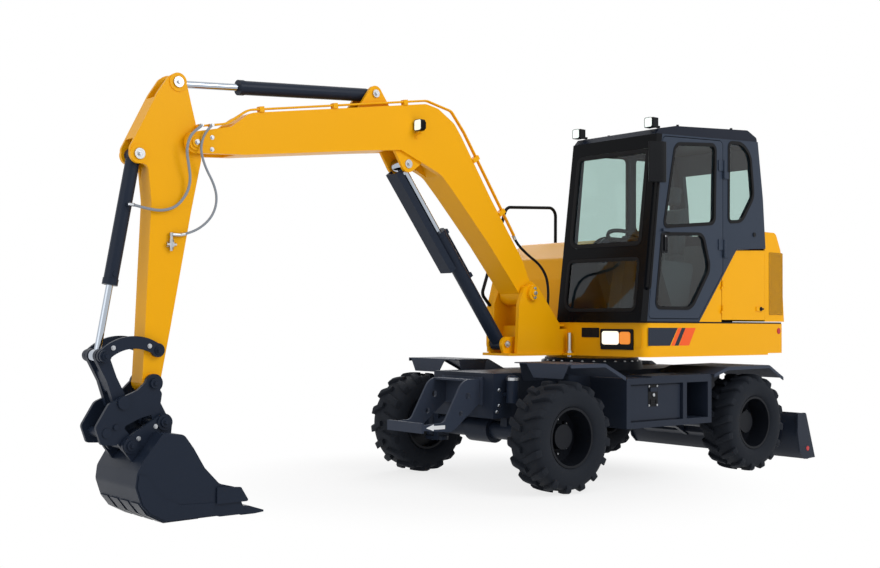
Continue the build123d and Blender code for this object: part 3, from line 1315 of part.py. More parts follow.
# Hoses that hang from the boom's pipes to the bucket cylinder and to the valve block
bucket_hose = (
    (3846, 121.4, 2506),
    (3846, 162, 2506),
    (3890, 166, 2474),
    (3936, 160, 2424),
    (3953, 148, 2337),
    (3926, 135, 2233),
    (3907, 122, 2149),
    (3923, 110, 2062),
    (3992, 102, 1971),
    (4096, 98, 1938),
    (4209, 95, 1951),
    (4275, 88, 1966),
    (4299, 63, 1971),
)
hose(bucket_hose, BUCKET_HOSE_RADIUS, "hose_bucket")
valve_hose = (
    (3769, 121.4, 2516),
    (3769, 152, 2516),
    (3806, 158, 2484),
    (3840, 156, 2430),
    (3856, 152, 2347),
    (3819, 146, 2242),
    (3744, 138, 2130),
    (3718, 132, 2034),
    (3741, 122, 1934),
    (3813, 112, 1854),
    (3905, 98, 1806),
    (3963, ARM_HALF + 19, 1795),
)
hose(valve_hose, VALVE_HOSE_RADIUS, "hose_valve")

with BuildPart() as arm_barrel:
    cylinder_barrel(ARM_BASE, ARM_EYE, 1100, 48, 24, 46, 46, SMALL_PIN_RADIUS)
finish(arm_barrel, "arm_barrel")
with BuildPart() as arm_rod:
    cylinder_rod(ARM_BASE, ARM_EYE, 385, 24, 44, 42)
finish(arm_rod, "arm_rod")

with BuildPart() as bucket_barrel:
    cylinder_barrel(BUCKET_BASE, LINK, 838, 45, 22, 44, 44, SMALL_PIN_RADIUS)
    bar(toward(BUCKET_BASE, LINK, BUCKET_PORT), 14, 40, 52)
    bar(toward(BUCKET_BASE, LINK, 770), 14, 40, 52)
finish(bucket_barrel, "bucket_barrel")
with BuildPart() as bucket_rod:
    cylinder_rod(BUCKET_BASE, LINK, 492, 22, 40, 32)
finish(bucket_rod, "bucket_rod")

# Guide links outside the arm, joined by the pin that also takes the rod and the bucket link
with BuildPart() as guide_links:
    for low, high in both(86, 110):
        with BuildSketch(side(high)) as arch:
            with BuildLine():
                upper_edge = ThreePointArc(shifted(GUIDE, 0, 44), (4270, 1150), shifted(LINK, 14, 40))
                lower_edge = ThreePointArc(shifted(GUIDE, 0, -44), (4270, 1072), shifted(LINK, -14, -40))
                Line(upper_edge @ 0, lower_edge @ 0)
                Line(upper_edge @ 1, lower_edge @ 1)
            make_face()
        extrude(arch.sketch, amount=high - low)
        bar(GUIDE, 44, low, high)
        bar(LINK, 42, low, high)
    for low, high in both(86, 134):
        bar(LINK, 38, low, high)
    for low, high in both(36, 140):
        bar(LINK, SMALL_PIN_RADIUS, low, high)
    for low, high in both(86, 110):
        bar(GUIDE, SMALL_PIN_RADIUS + PIN_GAP, low, high, mode=Mode.SUBTRACT)
finish(guide_links, "guide_links")

# Bucket link between the junction and the coupler
with BuildPart() as bucket_link:
    for low, high in both(40, 78):
        link(((*LINK, 44), (4400, 885, 34)), low, high)
        link(((4400, 885, 34), (*COUPLER_LINK, 46)), low, high)
    link(((4424, 930, 26), (4378, 825, 26)), -60, 60)
    for low, high in both(40, 78):
        bar(LINK, SMALL_PIN_RADIUS + PIN_GAP, low, high, mode=Mode.SUBTRACT)
finish(bucket_link, "bucket_link")

# Quick coupler: two plates on the arm's tip that grip the two bucket pins
with BuildPart() as coupler:
    coupler_rows = (
        (4151, 904, 50),
        (4082, 790, 30),
        (4100, 676, 0),
        (4230, 641, 0),
        (4322, 600, 0),
        (4379, 483, 0),
        (4480, 489, 20),
        (4518, 596, 40),
        (4431, 741, 60),
        (4244, 815, 60),
    )
    for low, high in both(COUPLER_INNER, COUPLER_INNER + COUPLER_PLATE):
        slab(coupler_rows, low, high)
        bar(TIP, 58, low, high)
        link(((*BUCKET_REAR, 48), (4130, 710, 44)), low, high)
        link(((*BUCKET_FRONT, 48), (4370, 560, 44)), low, high)
    for low, high in both(COUPLER_INNER, COUPLER_INNER + COUPLER_PLATE + 14):
        bar(COUPLER_LINK, 40, low, high)
        bar((4389, 594), 16, low, high)
    bar(TIP, PIN_RADIUS, -132, 132)
    bar((4135, 690), 26, -COUPLER_INNER, COUPLER_INNER)
    bar((4445, 560), 30, -EAR_INNER + 2, EAR_INNER - 2)
    for point in (BUCKET_REAR, BUCKET_FRONT):
        bar(point, PIN_RADIUS + PIN_GAP, -COUPLER_INNER - 40, COUPLER_INNER + 40, mode=Mode.SUBTRACT)
finish(coupler, "coupler")

# Bucket: wrapped shell between side plates, ears with their pins, cutting edge, side cutters and teeth
bucket_rows = (
    (4154, 557, 0),
    (4014, 542, 60),
    (3946, 452, 0),
    (3868, 325, 0),
    (3763, 218, 60),
    (3640, 186, 40),
    (3590, 60, 0),
    (3590, 16, 0),
    (3778, 16, 0),
    (4137, 13, 60),
    (4247, 71, 80),
    (4297, 130, 60),
    (4335, 240, 60),
    (4325, 325, 60),
    (4270, 415, 40),
)
scoop_rows = (
    (4146, 541, 0),
    (4022, 527, 40),
    (3955, 436, 0),
    (3500, 436, 0),
    (3500, 34, 0),
    (3778, 34, 0),
    (4133, 30, 50),
    (4236, 84, 66),
    (4282, 137, 46),
    (4318, 243, 46),
    (4309, 321, 46),
    (4258, 404, 26),
)
with BuildPart() as bucket:
    slab(bucket_rows, -BUCKET_HALF, BUCKET_HALF)
    for low, high in both(EAR_INNER, EAR_INNER + EAR_PLATE):
        link(((*BUCKET_REAR, 54), (4100, 480, 60), (4250, 420, 60), (*BUCKET_FRONT, 54)), low, high)
    for low, high in both(EAR_INNER, EAR_INNER + EAR_PLATE + 12):
        bar(BUCKET_REAR, 50, low, high)
        bar(BUCKET_FRONT, 50, low, high)
    slab(scoop_rows, BUCKET_SHEET - BUCKET_HALF, BUCKET_HALF - BUCKET_SHEET, mode=Mode.SUBTRACT)
    for point in (BUCKET_REAR, BUCKET_FRONT):
        bar(point, PIN_RADIUS, -EAR_INNER - 44, EAR_INNER + 44)
    slab(((3560, 10, 0), (3560, 30, 0), (3600, 52, 0), (3760, 46, 0), (3760, 10, 0)), -BUCKET_HALF, BUCKET_HALF)
    for low, high in both(BUCKET_HALF, BUCKET_HALF + 14):
        slab(((3613, 186, 10), (3553, 92, 10), (3786, 92, 10), (3786, 200, 10)), low, high)
    for y in TOOTH_PLACES:
        slab(((3600, 4, 0), (3600, 62, 0), (3540, 58, 0), (3433, 22, 0), (3433, 10, 0), (3500, 4, 0)), y - 30, y + 30)
finish(bucket, "bucket")
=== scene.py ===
# %% [markdown]
# # A wheeled excavator in a pale studio
# The CAD model gives every hard part its size and place. This lesson dresses that frame: paint, glass,
# rubber and chrome for the CAD pieces, then the small things that a modeller adds by hand, such as bolts,
# lenses, hoses and cushions. Everything is in metres, x forward, y to the driver's left and z up.

import math

import bmesh
import bpy
from mathutils import Matrix, Vector


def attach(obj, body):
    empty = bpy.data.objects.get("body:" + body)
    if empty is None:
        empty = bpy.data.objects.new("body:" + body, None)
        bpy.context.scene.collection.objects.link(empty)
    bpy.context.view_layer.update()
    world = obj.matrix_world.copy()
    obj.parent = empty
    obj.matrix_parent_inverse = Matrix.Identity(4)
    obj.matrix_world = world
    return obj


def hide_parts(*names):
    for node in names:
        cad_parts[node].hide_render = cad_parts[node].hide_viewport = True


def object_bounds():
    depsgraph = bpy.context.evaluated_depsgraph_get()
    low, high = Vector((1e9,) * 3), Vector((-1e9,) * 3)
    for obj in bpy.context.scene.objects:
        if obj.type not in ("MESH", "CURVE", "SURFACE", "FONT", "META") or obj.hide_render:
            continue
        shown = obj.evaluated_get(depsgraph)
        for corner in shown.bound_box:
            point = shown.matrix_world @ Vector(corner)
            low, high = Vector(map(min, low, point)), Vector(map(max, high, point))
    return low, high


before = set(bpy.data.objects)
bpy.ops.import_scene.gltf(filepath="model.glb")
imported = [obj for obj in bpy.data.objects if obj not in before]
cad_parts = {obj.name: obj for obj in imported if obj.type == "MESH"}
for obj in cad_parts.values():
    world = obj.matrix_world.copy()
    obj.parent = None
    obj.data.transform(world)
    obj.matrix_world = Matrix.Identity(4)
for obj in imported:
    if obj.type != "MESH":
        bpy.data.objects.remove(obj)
cad_low, cad_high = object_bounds()
print("CAD box", [round(v, 3) for v in (*cad_low, *cad_high)])

# %% [markdown]
# ## Places on the machine
# The drawings measure from the axis on which the upper body swings, in millimetres, as a tape on the
# machine would. One function turns such a place into a point of the scene.

# %% Turn drawing places into points
SWING_AXIS_X = -1.314
SIDES = (("left", 1), ("right", -1))


def at(x, y, z):
    return Vector((SWING_AXIS_X + x / 1000, y / 1000, z / 1000))


def add_object(name, data):
    added = bpy.data.objects.new(name, data)
    bpy.context.collection.objects.link(added)
    return added


print("swing axis on the ground", [round(v, 3) for v in at(0, 0, 0)])

# %% [markdown]
# ## The camera
# The photographer stood ahead of the machine and to its left, as high as the top of the yellow band.
# Turning, pitching and rolling a level camera by the fitted angles puts the machine on the same spots.

# %% Place the camera
CAMERA_PLACE = (7.4994 + SWING_AXIS_X, 6.8807, 1.2518)
YAW, PITCH, ROLL = 4.0128, 0.0322, 0.0068
FOCAL_PIXELS, IMAGE_WIDTH = 1171.44, 880

forward = Vector((math.cos(YAW) * math.cos(PITCH), math.sin(YAW) * math.cos(PITCH), math.sin(PITCH)))
level_right = Vector((math.sin(YAW), -math.cos(YAW), 0))
level_up = level_right.cross(forward)
right = math.cos(ROLL) * level_right + math.sin(ROLL) * level_up
up = math.cos(ROLL) * level_up - math.sin(ROLL) * level_right
camera_data = bpy.data.cameras.new("studio_camera")
camera_data.sensor_width = 36
camera_data.lens = FOCAL_PIXELS / IMAGE_WIDTH * 36
camera = add_object("studio_camera", camera_data)
camera.matrix_world = Matrix.Translation(CAMERA_PLACE) @ Matrix((right, up, -forward)).transposed().to_4x4()
bpy.context.scene.camera = camera
bpy.context.scene.view_settings.view_transform = "Standard"
print("lens", round(camera_data.lens, 2), "mm")

# %% [markdown]
# ## Colour values
# Paint cards give colours as sRGB hex codes, while the shaders calculate in linear light. One function
# makes the change.

# %% Turn a hex colour to linear
def linear(code):
    channels = [int(code[i:i + 2], 16) / 255 for i in (1, 3, 5)]
    turned = [c / 12.92 if c <= 0.04045 else ((c + 0.055) / 1.055) ** 2.4 for c in channels]
    return (*turned, 1.0)


print("warm yellow in linear light", [round(c, 3) for c in linear("#F2AB06")])

# %% [markdown]
# ## A small helper for shader nodes
# Every material is a handful of nodes wired together. One function adds a node, sets its properties and
# inputs, and joins it to the nodes before it, so that a material reads from top to bottom.

# %% Add one shader node
def add_node(tree, kind, links=None, values=None, **settings):
    node = tree.nodes.new("ShaderNode" + kind)
    for name, value in settings.items():
        setattr(node, name, value)
    for name, value in (values or {}).items():
        node.inputs[name].default_value = value
    for name, source in (links or {}).items():
        tree.links.new(source, node.inputs[name])
    return node


def surface(colour, roughness, shine):
    """Settings of paint, plastic, rubber, cloth or a lens, by the names of the shader's inputs."""
    return {"Base Color": linear(colour), "Roughness": roughness, "Specular IOR Level": shine, "IOR": 1.5}


def metal(colour, roughness):
    return {"Base Color": linear(colour), "Roughness": roughness, "Metallic": 1.0}


def start_material(name, values):
    material = bpy.data.materials.new(name)
    material.use_nodes = True
    shader = material.node_tree.nodes["Principled BSDF"]
    for socket, value in values.items():
        shader.inputs[socket].default_value = value
    return material, material.node_tree, shader


print("settings of every surface:", ", ".join(surface("#808080", 0.5, 0.1)))

# %% [markdown]
# ## Machine paint
# The body wears a two-part enamel, sprayed over primer. What the eye gets is an even colour, a soft
# clear gloss and a very faint orange peel about 3 mm across, where the wet drops ran together. Broad
# clouds a foot wide vary the gloss a little, as wiping and handling do.

# %% Make the enamel paints
def add_bump(tree, shader, height, strength, depth):
    bump = add_node(tree, "Bump", {"Height": height}, {"Strength": strength, "Distance": depth})
    tree.links.new(bump.outputs["Normal"], shader.inputs["Normal"])


def add_peel(tree, shader, grain_mm, strength, depth):
    place = add_node(tree, "TexCoord")
    noise = add_node(
        tree, "TexNoise", {"Vector": place.outputs["Object"]},
        {"Scale": 1000 / (grain_mm * 4), "Detail": 2.0},
    )
    add_bump(tree, shader, noise.outputs["Fac"], strength, depth)
    return place


def add_clouds(tree, shader, place, low, high):
    clouds = add_node(tree, "TexNoise", {"Vector": place.outputs["Object"]}, {"Scale": 3.0, "Detail": 3.0})
    spread = add_node(tree, "MapRange", {"Value": clouds.outputs["Fac"]}, {"To Min": low, "To Max": high})
    tree.links.new(spread.outputs["Result"], shader.inputs["Roughness"])


def make_paint(name, colour, roughness):
    enamel = surface(colour, roughness, 0.12) | {"Coat Weight": 0.02, "Coat Roughness": 0.1}
    material, tree, shader = start_material(name, enamel)
    place = add_peel(tree, shader, 3.0, 0.12, 0.0004)
    add_clouds(tree, shader, place, roughness - 0.05, roughness + 0.07)
    return material


# Two-part enamel in the machine's warm yellow, medium gloss
yellow_enamel = make_paint("yellow_enamel", "#F2AB06", 0.34)
# Chassis enamel in dark slate, semi-matt
slate_enamel = make_paint("slate_enamel", "#222936", 0.42)
# Walked-on enamel of the fenders and the front step, greyed by dust
step_enamel = make_paint("step_enamel", "#343B49", 0.46)
# Digging tool enamel, dark blue grey, medium gloss
gear_enamel = make_paint("gear_enamel", "#1E2634", 0.36)
# Cab door enamel in slate grey
cab_enamel = make_paint("cab_enamel", "#313A48", 0.34)
# Moulded roof shell, darker slate
roof_enamel = make_paint("roof_enamel", "#161C29", 0.46)
# Black enamel of small fittings
black_enamel = make_paint("black_enamel", "#0B0D11", 0.32)
# Wheel enamel, nearly black, satin
wheel_enamel = make_paint("wheel_enamel", "#14171D", 0.4)
print("paints", len(bpy.data.materials))

# %% [markdown]
# ## Two finishes on one part
# Some nodes carry two finishes: the cab shell is black ahead of the door and slate behind it, and a
# chrome rod carries its painted guard. A plane through the part, given by its normal and its distance,
# tells the shader which finish a point belongs to.

# %% Mix two finishes by a plane
def make_split(name, normal, distance, ahead, behind):
    material, tree, ahead_shader = start_material(name, ahead)
    behind_shader = add_node(tree, "BsdfPrincipled", values=behind)
    for shader in (ahead_shader, behind_shader):
        place = add_peel(tree, shader, 3.0, 0.08, 0.0004)
    along = add_node(tree, "VectorMath", {0: place.outputs["Object"]}, {1: normal}, operation="DOT_PRODUCT")
    past = add_node(tree, "Math", {0: along.outputs["Value"]}, {1: distance}, operation="GREATER_THAN")
    sides = {1: behind_shader.outputs["BSDF"], 2: ahead_shader.outputs["BSDF"]}
    mix = add_node(tree, "MixShader", {0: past.outputs["Value"], **sides})
    tree.links.new(mix.outputs["Shader"], tree.nodes["Material Output"].inputs["Surface"])
    return material


CHROME = metal("#AEB6C0", 0.14)
BLACK = surface("#07090D", 0.26, 0.08)
SLATE = surface("#2E3745", 0.34, 0.12)
GEAR = surface("#1E2634", 0.36, 0.12)
YELLOW = surface("#F2AB06", 0.34, 0.12)
# Cab enamel: black ahead of the door's front edge, slate behind it
cab_two_tone = make_split("cab_two_tone", (1.0, 0.0, 0.1222), -0.7581, BLACK, SLATE)
# Hard chrome rod whose bolted guard is painted
rod_with_guard = make_split("rod_with_guard", (0.7974, 0.0, -0.6034), -0.7811, GEAR, CHROME)
# Black lamp body on a yellow bracket
lamp_on_bracket = make_split("lamp_on_bracket", (0.0, 0.0, 1.0), 2.6635, BLACK, YELLOW)
print("two-tone finishes ready")

# %% [markdown]
# ## Chrome, rubber and plain plastics
# Cylinder rods are hard chrome ground to a mirror. The tyres are carbon-filled rubber, which scatters
# light broadly, and the small fittings are moulded nylon with a fine grain.

# %% Make the plain finishes
def make_grained(name, colour, roughness, grain_mm, depth):
    material, tree, shader = start_material(name, surface(colour, roughness, 0.15))
    place = add_peel(tree, shader, grain_mm, 0.4, depth)
    add_clouds(tree, shader, place, roughness - 0.06, roughness + 0.08)
    return material


def make_metal(name, colour, roughness):
    material, tree, shader = start_material(name, metal(colour, roughness))
    place = add_node(tree, "TexCoord")
    add_clouds(tree, shader, place, roughness - 0.03, roughness + 0.06)
    return material


# Ground hard chrome of the cylinder rods
hard_chrome = make_metal("hard_chrome", "#AEB6C0", 0.12)
# Zinc plated steel of bolts and fittings
zinc_steel = make_metal("zinc_steel", "#B9BCC0", 0.3)
# Carbon-filled tyre rubber with a fine moulded grain
tyre_rubber = make_grained("tyre_rubber", "#1B1F26", 0.74, 4.0, 0.001)
# Extruded rubber of the window seals
seal_rubber = make_grained("seal_rubber", "#0E0F12", 0.6, 2.0, 0.0004)
# Moulded nylon of housings and handles
grained_nylon = make_grained("grained_nylon", "#15171B", 0.5, 2.0, 0.0005)
# Moulded console plastic in grey
console_grey = make_grained("console_grey", "#3B3F46", 0.6, 2.0, 0.0005)
# Grey wrapped hose and black hose
grey_hose = make_grained("grey_hose", "#8A9098", 0.5, 3.0, 0.0008)
black_hose = make_grained("black_hose", "#15171A", 0.5, 3.0, 0.0006)
# Vinyl films of the markings: orange stripes, dark plates, white arrow
orange_film = make_grained("orange_film", "#F4602B", 0.4, 5.0, 0.0001)
dark_film = make_grained("dark_film", "#242B38", 0.38, 5.0, 0.0001)
white_film = make_grained("white_film", "#E8EAEC", 0.45, 5.0, 0.0001)
print("plain finishes ready")

# %% [markdown]
# ## Perforated sheet
# The hood breathes through yellow sheet punched with small round holes in a square grid. Here the
# holes are not cut: each is painted near black, as painted shade of the dark space behind the sheet.
# Seen from a few steps away, the dark dots and the paint blend to a brown tone.

# %% Paint the sheet's holes as shade
PITCH_MM, HOLE_MM = 7.0, 5.6

# Yellow sheet whose holes are painted near black as painted shade, not cut through
sheet_with_painted_hole_shade, tree, shader = start_material("sheet_with_painted_hole_shade", surface("#F2AB06", 0.4, 0.12))
place = add_node(tree, "TexCoord")
cell = add_node(
    tree, "VectorMath", {0: place.outputs["Object"]}, {"Scale": 1000 / PITCH_MM}, operation="SCALE",
)
inside = add_node(tree, "VectorMath", {0: cell.outputs["Vector"]}, operation="FRACTION")
centred = add_node(
    tree, "VectorMath", {0: inside.outputs["Vector"]}, {1: (0.5, 0.5, 0.5)}, operation="SUBTRACT",
)
flat = add_node(
    tree, "VectorMath", {0: centred.outputs["Vector"]}, {1: (1.0, 0.0, 1.0)}, operation="MULTIPLY",
)
away = add_node(tree, "VectorMath", {0: flat.outputs["Vector"]}, operation="LENGTH")
painted_hole_shade = add_node(tree, "Math", {0: away.outputs["Value"]}, {1: HOLE_MM / 2 / PITCH_MM}, operation="LESS_THAN")
sheet_and_hole_shade = add_node(tree, "Mix", {"Factor": painted_hole_shade.outputs["Value"]}, data_type="RGBA")
sheet_and_hole_shade.inputs["A"].default_value = linear("#F2AB06")
sheet_and_hole_shade.inputs["B"].default_value = linear("#15120C")
tree.links.new(sheet_and_hole_shade.outputs["Result"], shader.inputs["Base Color"])
print("holes take", round(math.pi * (HOLE_MM / PITCH_MM) ** 2 / 4, 2), "of the sheet")

# %% [markdown]
# ## Lamp glass
# A lit lamp shows a pale lens with a soft glow of its own. Narrow upright flutes in the glass spread
# the beam, and they show as fine stripes.

# %% Make the lenses
def make_lens(name, colour, glow, flute_mm):
    lit = surface(colour, 0.12, 0.5) | {"Emission Color": linear(colour), "Emission Strength": glow}
    material, tree, shader = start_material(name, lit)
    place = add_node(tree, "TexCoord")
    flutes = add_node(
        tree, "TexWave", {"Vector": place.outputs["Object"]}, {"Scale": 1000 / (flute_mm * 20)},
        bands_direction="Y",
    )
    add_bump(tree, shader, flutes.outputs["Fac"], 0.5, 0.001)
    return material


# Clear fluted lens, lit warm white
warm_lens = make_lens("warm_lens", "#FFF3DC", 0.9, 8)
# Clear lens of a work lamp in daylight
work_lens = make_lens("work_lens", "#E4F0EA", 0.6, 10)
# Amber indicator, and red reflector with a faint painted glow, since a reflector gives no light of its own
amber_lens = make_lens("amber_lens", "#F08A1E", 0.5, 6)
red_reflector_painted_glow = make_lens("red_reflector_painted_glow", "#B31218", 0.1, 5)
print("lenses ready")

# %% [markdown]
# ## Tinted cab glass
# The panes are toughened float glass with a green body tint. A thin pane only bends light a little, so
# a mix of a tinted transparent shader and a sharp gloss by Fresnel shows the cab's inside and the sky.

# %% Make the glass
# Toughened glass of every pane
green_glass, tree, _ = start_material("green_glass", {})
tree.nodes.clear()
clear = add_node(tree, "BsdfTransparent", values={"Color": linear("#E4EDEB")})
gloss = add_node(tree, "BsdfGlossy", values={"Roughness": 0.03, "Color": (1, 1, 1, 1)})
fresnel = add_node(tree, "Fresnel", values={"IOR": 1.45})
side = add_node(tree, "NewGeometry")
outer = add_node(tree, "Math", {1: side.outputs["Backfacing"]}, {0: 1.0}, operation="SUBTRACT")
share = add_node(tree, "Math", {0: fresnel.outputs["Fac"], 1: outer.outputs["Value"]}, operation="MULTIPLY")
mix = add_node(
    tree, "MixShader", {0: share.outputs["Value"], 1: clear.outputs["BSDF"], 2: gloss.outputs["BSDF"]},
)
add_node(tree, "OutputMaterial", {"Surface": mix.outputs["Shader"]})

# Silvered glass of the mirror
mirror_silver = make_metal("mirror_silver", "#E6EAEC", 0.05)
print("materials so far", len(bpy.data.materials))

# %% [markdown]
# ## Dress the CAD nodes
# A CAD node keeps its mesh and gets its finish through its material slot. One table holds the finishes
# of the whole machine.

# %% Give every node its finish
FINISHES = (
    (yellow_enamel, ("upper_frame", "counterweight", "right_housing", "left_fairing", "engine_door",
                     "rear_hood", "boom", "boom_tubes", "arm")),
    (slate_enamel, ("chassis_frame", "swing_ring", "front_axle", "rear_axle", "drive_line",
                    "step_boxes", "steering_cylinder", "knuckle_left", "knuckle_right", "blade",
                    "engine_block")),
    (step_enamel, ("fenders", "front_bumper")),
    (gear_enamel, ("blade_barrel", "boom_barrel", "arm_barrel", "bucket_barrel", "guide_links",
                   "bucket_link", "coupler", "bucket")),
    (cab_two_tone, ("cab_shell",)),
    (cab_enamel, ("cab_door",)),
    (roof_enamel, ("cab_roof",)),
    (wheel_enamel, ("rim_front_left", "rim_front_right", "rim_rear_left", "rim_rear_right")),
    (black_enamel, ("upper_seat", "mirror", "handrails", "lamps")),
    (hard_chrome, ("steering_rod", "blade_rod", "arm_rod", "bucket_rod")),
    (rod_with_guard, ("boom_rod",)),
    (lamp_on_bracket, ("boom_lamp",)),
    (zinc_steel, ("swing_lock", "arm_valve")),
    (green_glass, ("cab_glass", "door_glass")),
    (console_grey, ("console",)),
)
for finish, names in FINISHES:
    for name in names:
        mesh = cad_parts[name].data
        mesh.materials.clear()
        mesh.materials.append(finish)
print("dressed", sum(len(names) for _, names in FINISHES), "of", len(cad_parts), "nodes")

# %% [markdown]
# ## Floor, sky and lamps
# A catalogue photograph is taken on white paper that glows a little, so that its shadow stays faint.
# The paper fades into the white sky as it leaves the machine, the sky lights from all round, and large
# area lamps give the paint its highlights.

# %% Pick the rays that see the glow
def add_seen(tree):
    path = add_node(tree, "LightPath")
    direct = add_node(
        tree, "Math", {0: path.outputs["Is Camera Ray"], 1: path.outputs["Is Glossy Ray"]},
        operation="MAXIMUM",
    )
    seen = add_node(
        tree, "Math", {0: direct.outputs["Value"], 1: path.outputs["Is Transmission Ray"]},
        operation="MAXIMUM",
    )
    return seen.outputs["Value"]


print("the glow shows in the camera, in gloss and through glass")

# %% Lay the paper
bpy.ops.mesh.primitive_plane_add(size=80, location=(0, 0, cad_low[2]))
floor = bpy.context.object
floor.name = "studio_floor"
paper, tree, shader = start_material("white_paper", {"Base Color": linear("#F6F6F6"), "Roughness": 0.95})
place = add_node(tree, "TexCoord")
distance = add_node(tree, "VectorMath", {0: place.outputs["Object"]}, operation="LENGTH")
fade = add_node(
    tree, "MapRange", {"Value": distance.outputs["Value"]},
    {"From Min": 1.2, "From Max": 2.5, "To Min": 0.77, "To Max": 1.0}, interpolation_type="SMOOTHSTEP",
)
share = add_node(tree, "Math", {0: fade.outputs["Result"], 1: add_seen(tree)}, operation="MULTIPLY")
glow = add_node(tree, "Emission", values={"Color": (1, 1, 1, 1), "Strength": 1.0})
mix = add_node(
    tree, "MixShader", {0: share.outputs["Value"], 1: shader.outputs["BSDF"], 2: glow.outputs["Emission"]},
)
tree.links.new(mix.outputs["Shader"], tree.nodes["Material Output"].inputs["Surface"])
floor.data.materials.append(paper)
print("paper laid at", round(cad_low[2], 4))

# %% Light the sky
world = bpy.data.worlds.new("studio_sky")
bpy.context.scene.world = world
world.use_nodes = True
tree = world.node_tree
tree.nodes.clear()
soft = add_node(tree, "Background", values={"Color": (0.95, 0.97, 1.0, 1.0), "Strength": 0.62})
plain = add_node(tree, "Background", values={"Color": (1, 1, 1, 1), "Strength": 1.0})
mix = add_node(
    tree, "MixShader",
    {0: add_seen(tree), 1: soft.outputs["Background"], 2: plain.outputs["Background"]},
)
add_node(tree, "OutputWorld", {"Surface": mix.outputs["Shader"]})
print("sky lit")

# %% Hang the lamps
LAMPS = (
    # name, place, size in m, power in W
    ("key_lamp", (-1.5, 8.0, 7.0), 5.0, 352),
    ("fill_lamp", (7.5, 1.0, 4.0), 5.0, 70),
    ("rim_lamp", (-6.0, -6.0, 6.0), 5.0, 160),
)
for name, spot, size, watts in LAMPS:
    lamp_data = bpy.data.lights.new(name, "AREA")
    lamp_data.size = size
    lamp_data.energy = watts
    lamp = add_object(name, lamp_data)
    lamp.location = spot
    lamp.rotation_euler = (Vector((0, 0, 1)) - Vector(spot)).to_track_quat("-Z", "Y").to_euler()
print("studio with", len(LAMPS), "lamps")

# %% [markdown]
# ## Settling a piece
# Each added piece is drawn with mesh operators, settled into an object with sound normals and creases
# where two faces meet sharply, and then told which body of the machine it rides on.

# %% Settle a mesh into a piece
WELD_DISTANCE = 0.00002


def settle(name, bm, finish, body, crease=35, replaced=()):
    bmesh.ops.remove_doubles(bm, verts=bm.verts, dist=WELD_DISTANCE)
    bmesh.ops.recalc_face_normals(bm, faces=bm.faces)
    mesh = bpy.data.meshes.new(name)
    bm.to_mesh(mesh)
    bm.free()
    mesh.materials.append(finish)
    for polygon in mesh.polygons:
        polygon.use_smooth = True
    mesh.set_sharp_from_angle(angle=math.radians(crease))
    piece = add_object(name, mesh)
    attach(piece, body)
    if replaced:
        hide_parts(*replaced)
    return piece


# %% [markdown]
# ## Discs and bolts
# A disc, a stub of pipe and a cap are one cylinder that stands on a place and points in a direction. A
# bolt is two of them: a round washer and a six-sided head.

# %% Draw discs and bolts
WASHER_RADIUS, WASHER_DEPTH, HEAD_DEPTH = 0.68, 0.14, 0.34


def add_disc(bm, place, direction, radius, depth, segments=32, taper=1.0):
    stand = Matrix.Translation(place) @ Vector(direction).to_track_quat("Z", "Y").to_matrix().to_4x4()
    bmesh.ops.create_cone(
        bm, cap_ends=True, segments=segments, radius1=radius, radius2=radius * taper, depth=depth,
        matrix=stand @ Matrix.Translation((0, 0, depth / 2)),
    )


def add_bolt(bm, place, direction, size):
    """Washer and hexagon head; size is the width across the corners."""
    add_disc(bm, place, direction, size * WASHER_RADIUS, size * WASHER_DEPTH, 24)
    top = Vector(place) + Vector(direction).normalized() * size * WASHER_DEPTH
    add_disc(bm, top, direction, size / 2, size * HEAD_DEPTH, 6, 0.94)


print("a washer is", WASHER_RADIUS * 2, "of its bolt's width")

# %% [markdown]
# ## Panels and rings
# Plates, films, lenses and seals are outlines with rounded corners. An outline is laid on a surface by a
# function that turns two drawing measures into a place, and is then pushed out to its thickness.

# %% Draw panels and rings
CORNER_STEPS = 6


def beside(y):
    """Function that puts (x, z) in mm on the upright plane y mm to the left of the middle."""
    return lambda x, z: at(x, y, z)


def rounded(near, far, low, high, radius=0):
    """Corners of a rectangle in mm, each with the radius that rounds it."""
    return ((near, low, radius), (far, low, radius), (far, high, radius), (near, high, radius))


def add_outline(bm, corners, place):
    """Flat face with rounded corners (u, v, radius in mm), set in space by place."""
    before = set(bm.faces)
    verts = [bm.verts.new(place(u, v)) for u, v, _ in corners]
    bm.faces.new(verts)
    for vert, (_, _, radius) in zip(verts, corners):
        if radius:
            bmesh.ops.bevel(
                bm, geom=[vert], offset=radius / 1000, offset_type="OFFSET", segments=CORNER_STEPS,
                profile=0.5, affect="VERTICES",
            )
    return [face for face in bm.faces if face not in before]


def only_verts(items):
    return [item for item in items if isinstance(item, bmesh.types.BMVert)]


def push_out(bm, faces, push):
    """Gives flat faces a thickness along a vector in metres."""
    made = bmesh.ops.extrude_face_region(bm, geom=faces, use_keep_orig=True)["geom"]
    bmesh.ops.translate(bm, verts=only_verts(made), vec=push)


def add_panel(bm, corners, place, push):
    push_out(bm, add_outline(bm, corners, place), push)


def add_ring(bm, corners, place, width, push):
    """Frame inside rounded corners, of a width in metres."""
    inner = add_outline(bm, corners, place)
    bm.normal_update()
    ring = bmesh.ops.inset_region(
        bm, faces=inner, thickness=width, use_even_offset=True, use_boundary=True,
    )["faces"]
    bmesh.ops.delete(bm, geom=inner, context="FACES_ONLY")
    push_out(bm, ring, push)


def fit_panel(name, corners, place, push, finish, body):
    bm = bmesh.new()
    add_panel(bm, corners, place, push)
    settle(name, bm, finish, body)


def fit_ring(name, corners, place, width, push, finish, body):
    bm = bmesh.new()
    add_ring(bm, corners, place, width, push)
    settle(name, bm, finish, body)


print("corners are rounded in", CORNER_STEPS, "steps")

# %% [markdown]
# ## Hydraulic hoses
# Two grey hoses hang from the pipes on the boom to the bucket cylinder and to a valve low on the arm,
# and a black one loops from the boom's foot to the swing joint. Each follows one smooth spline.

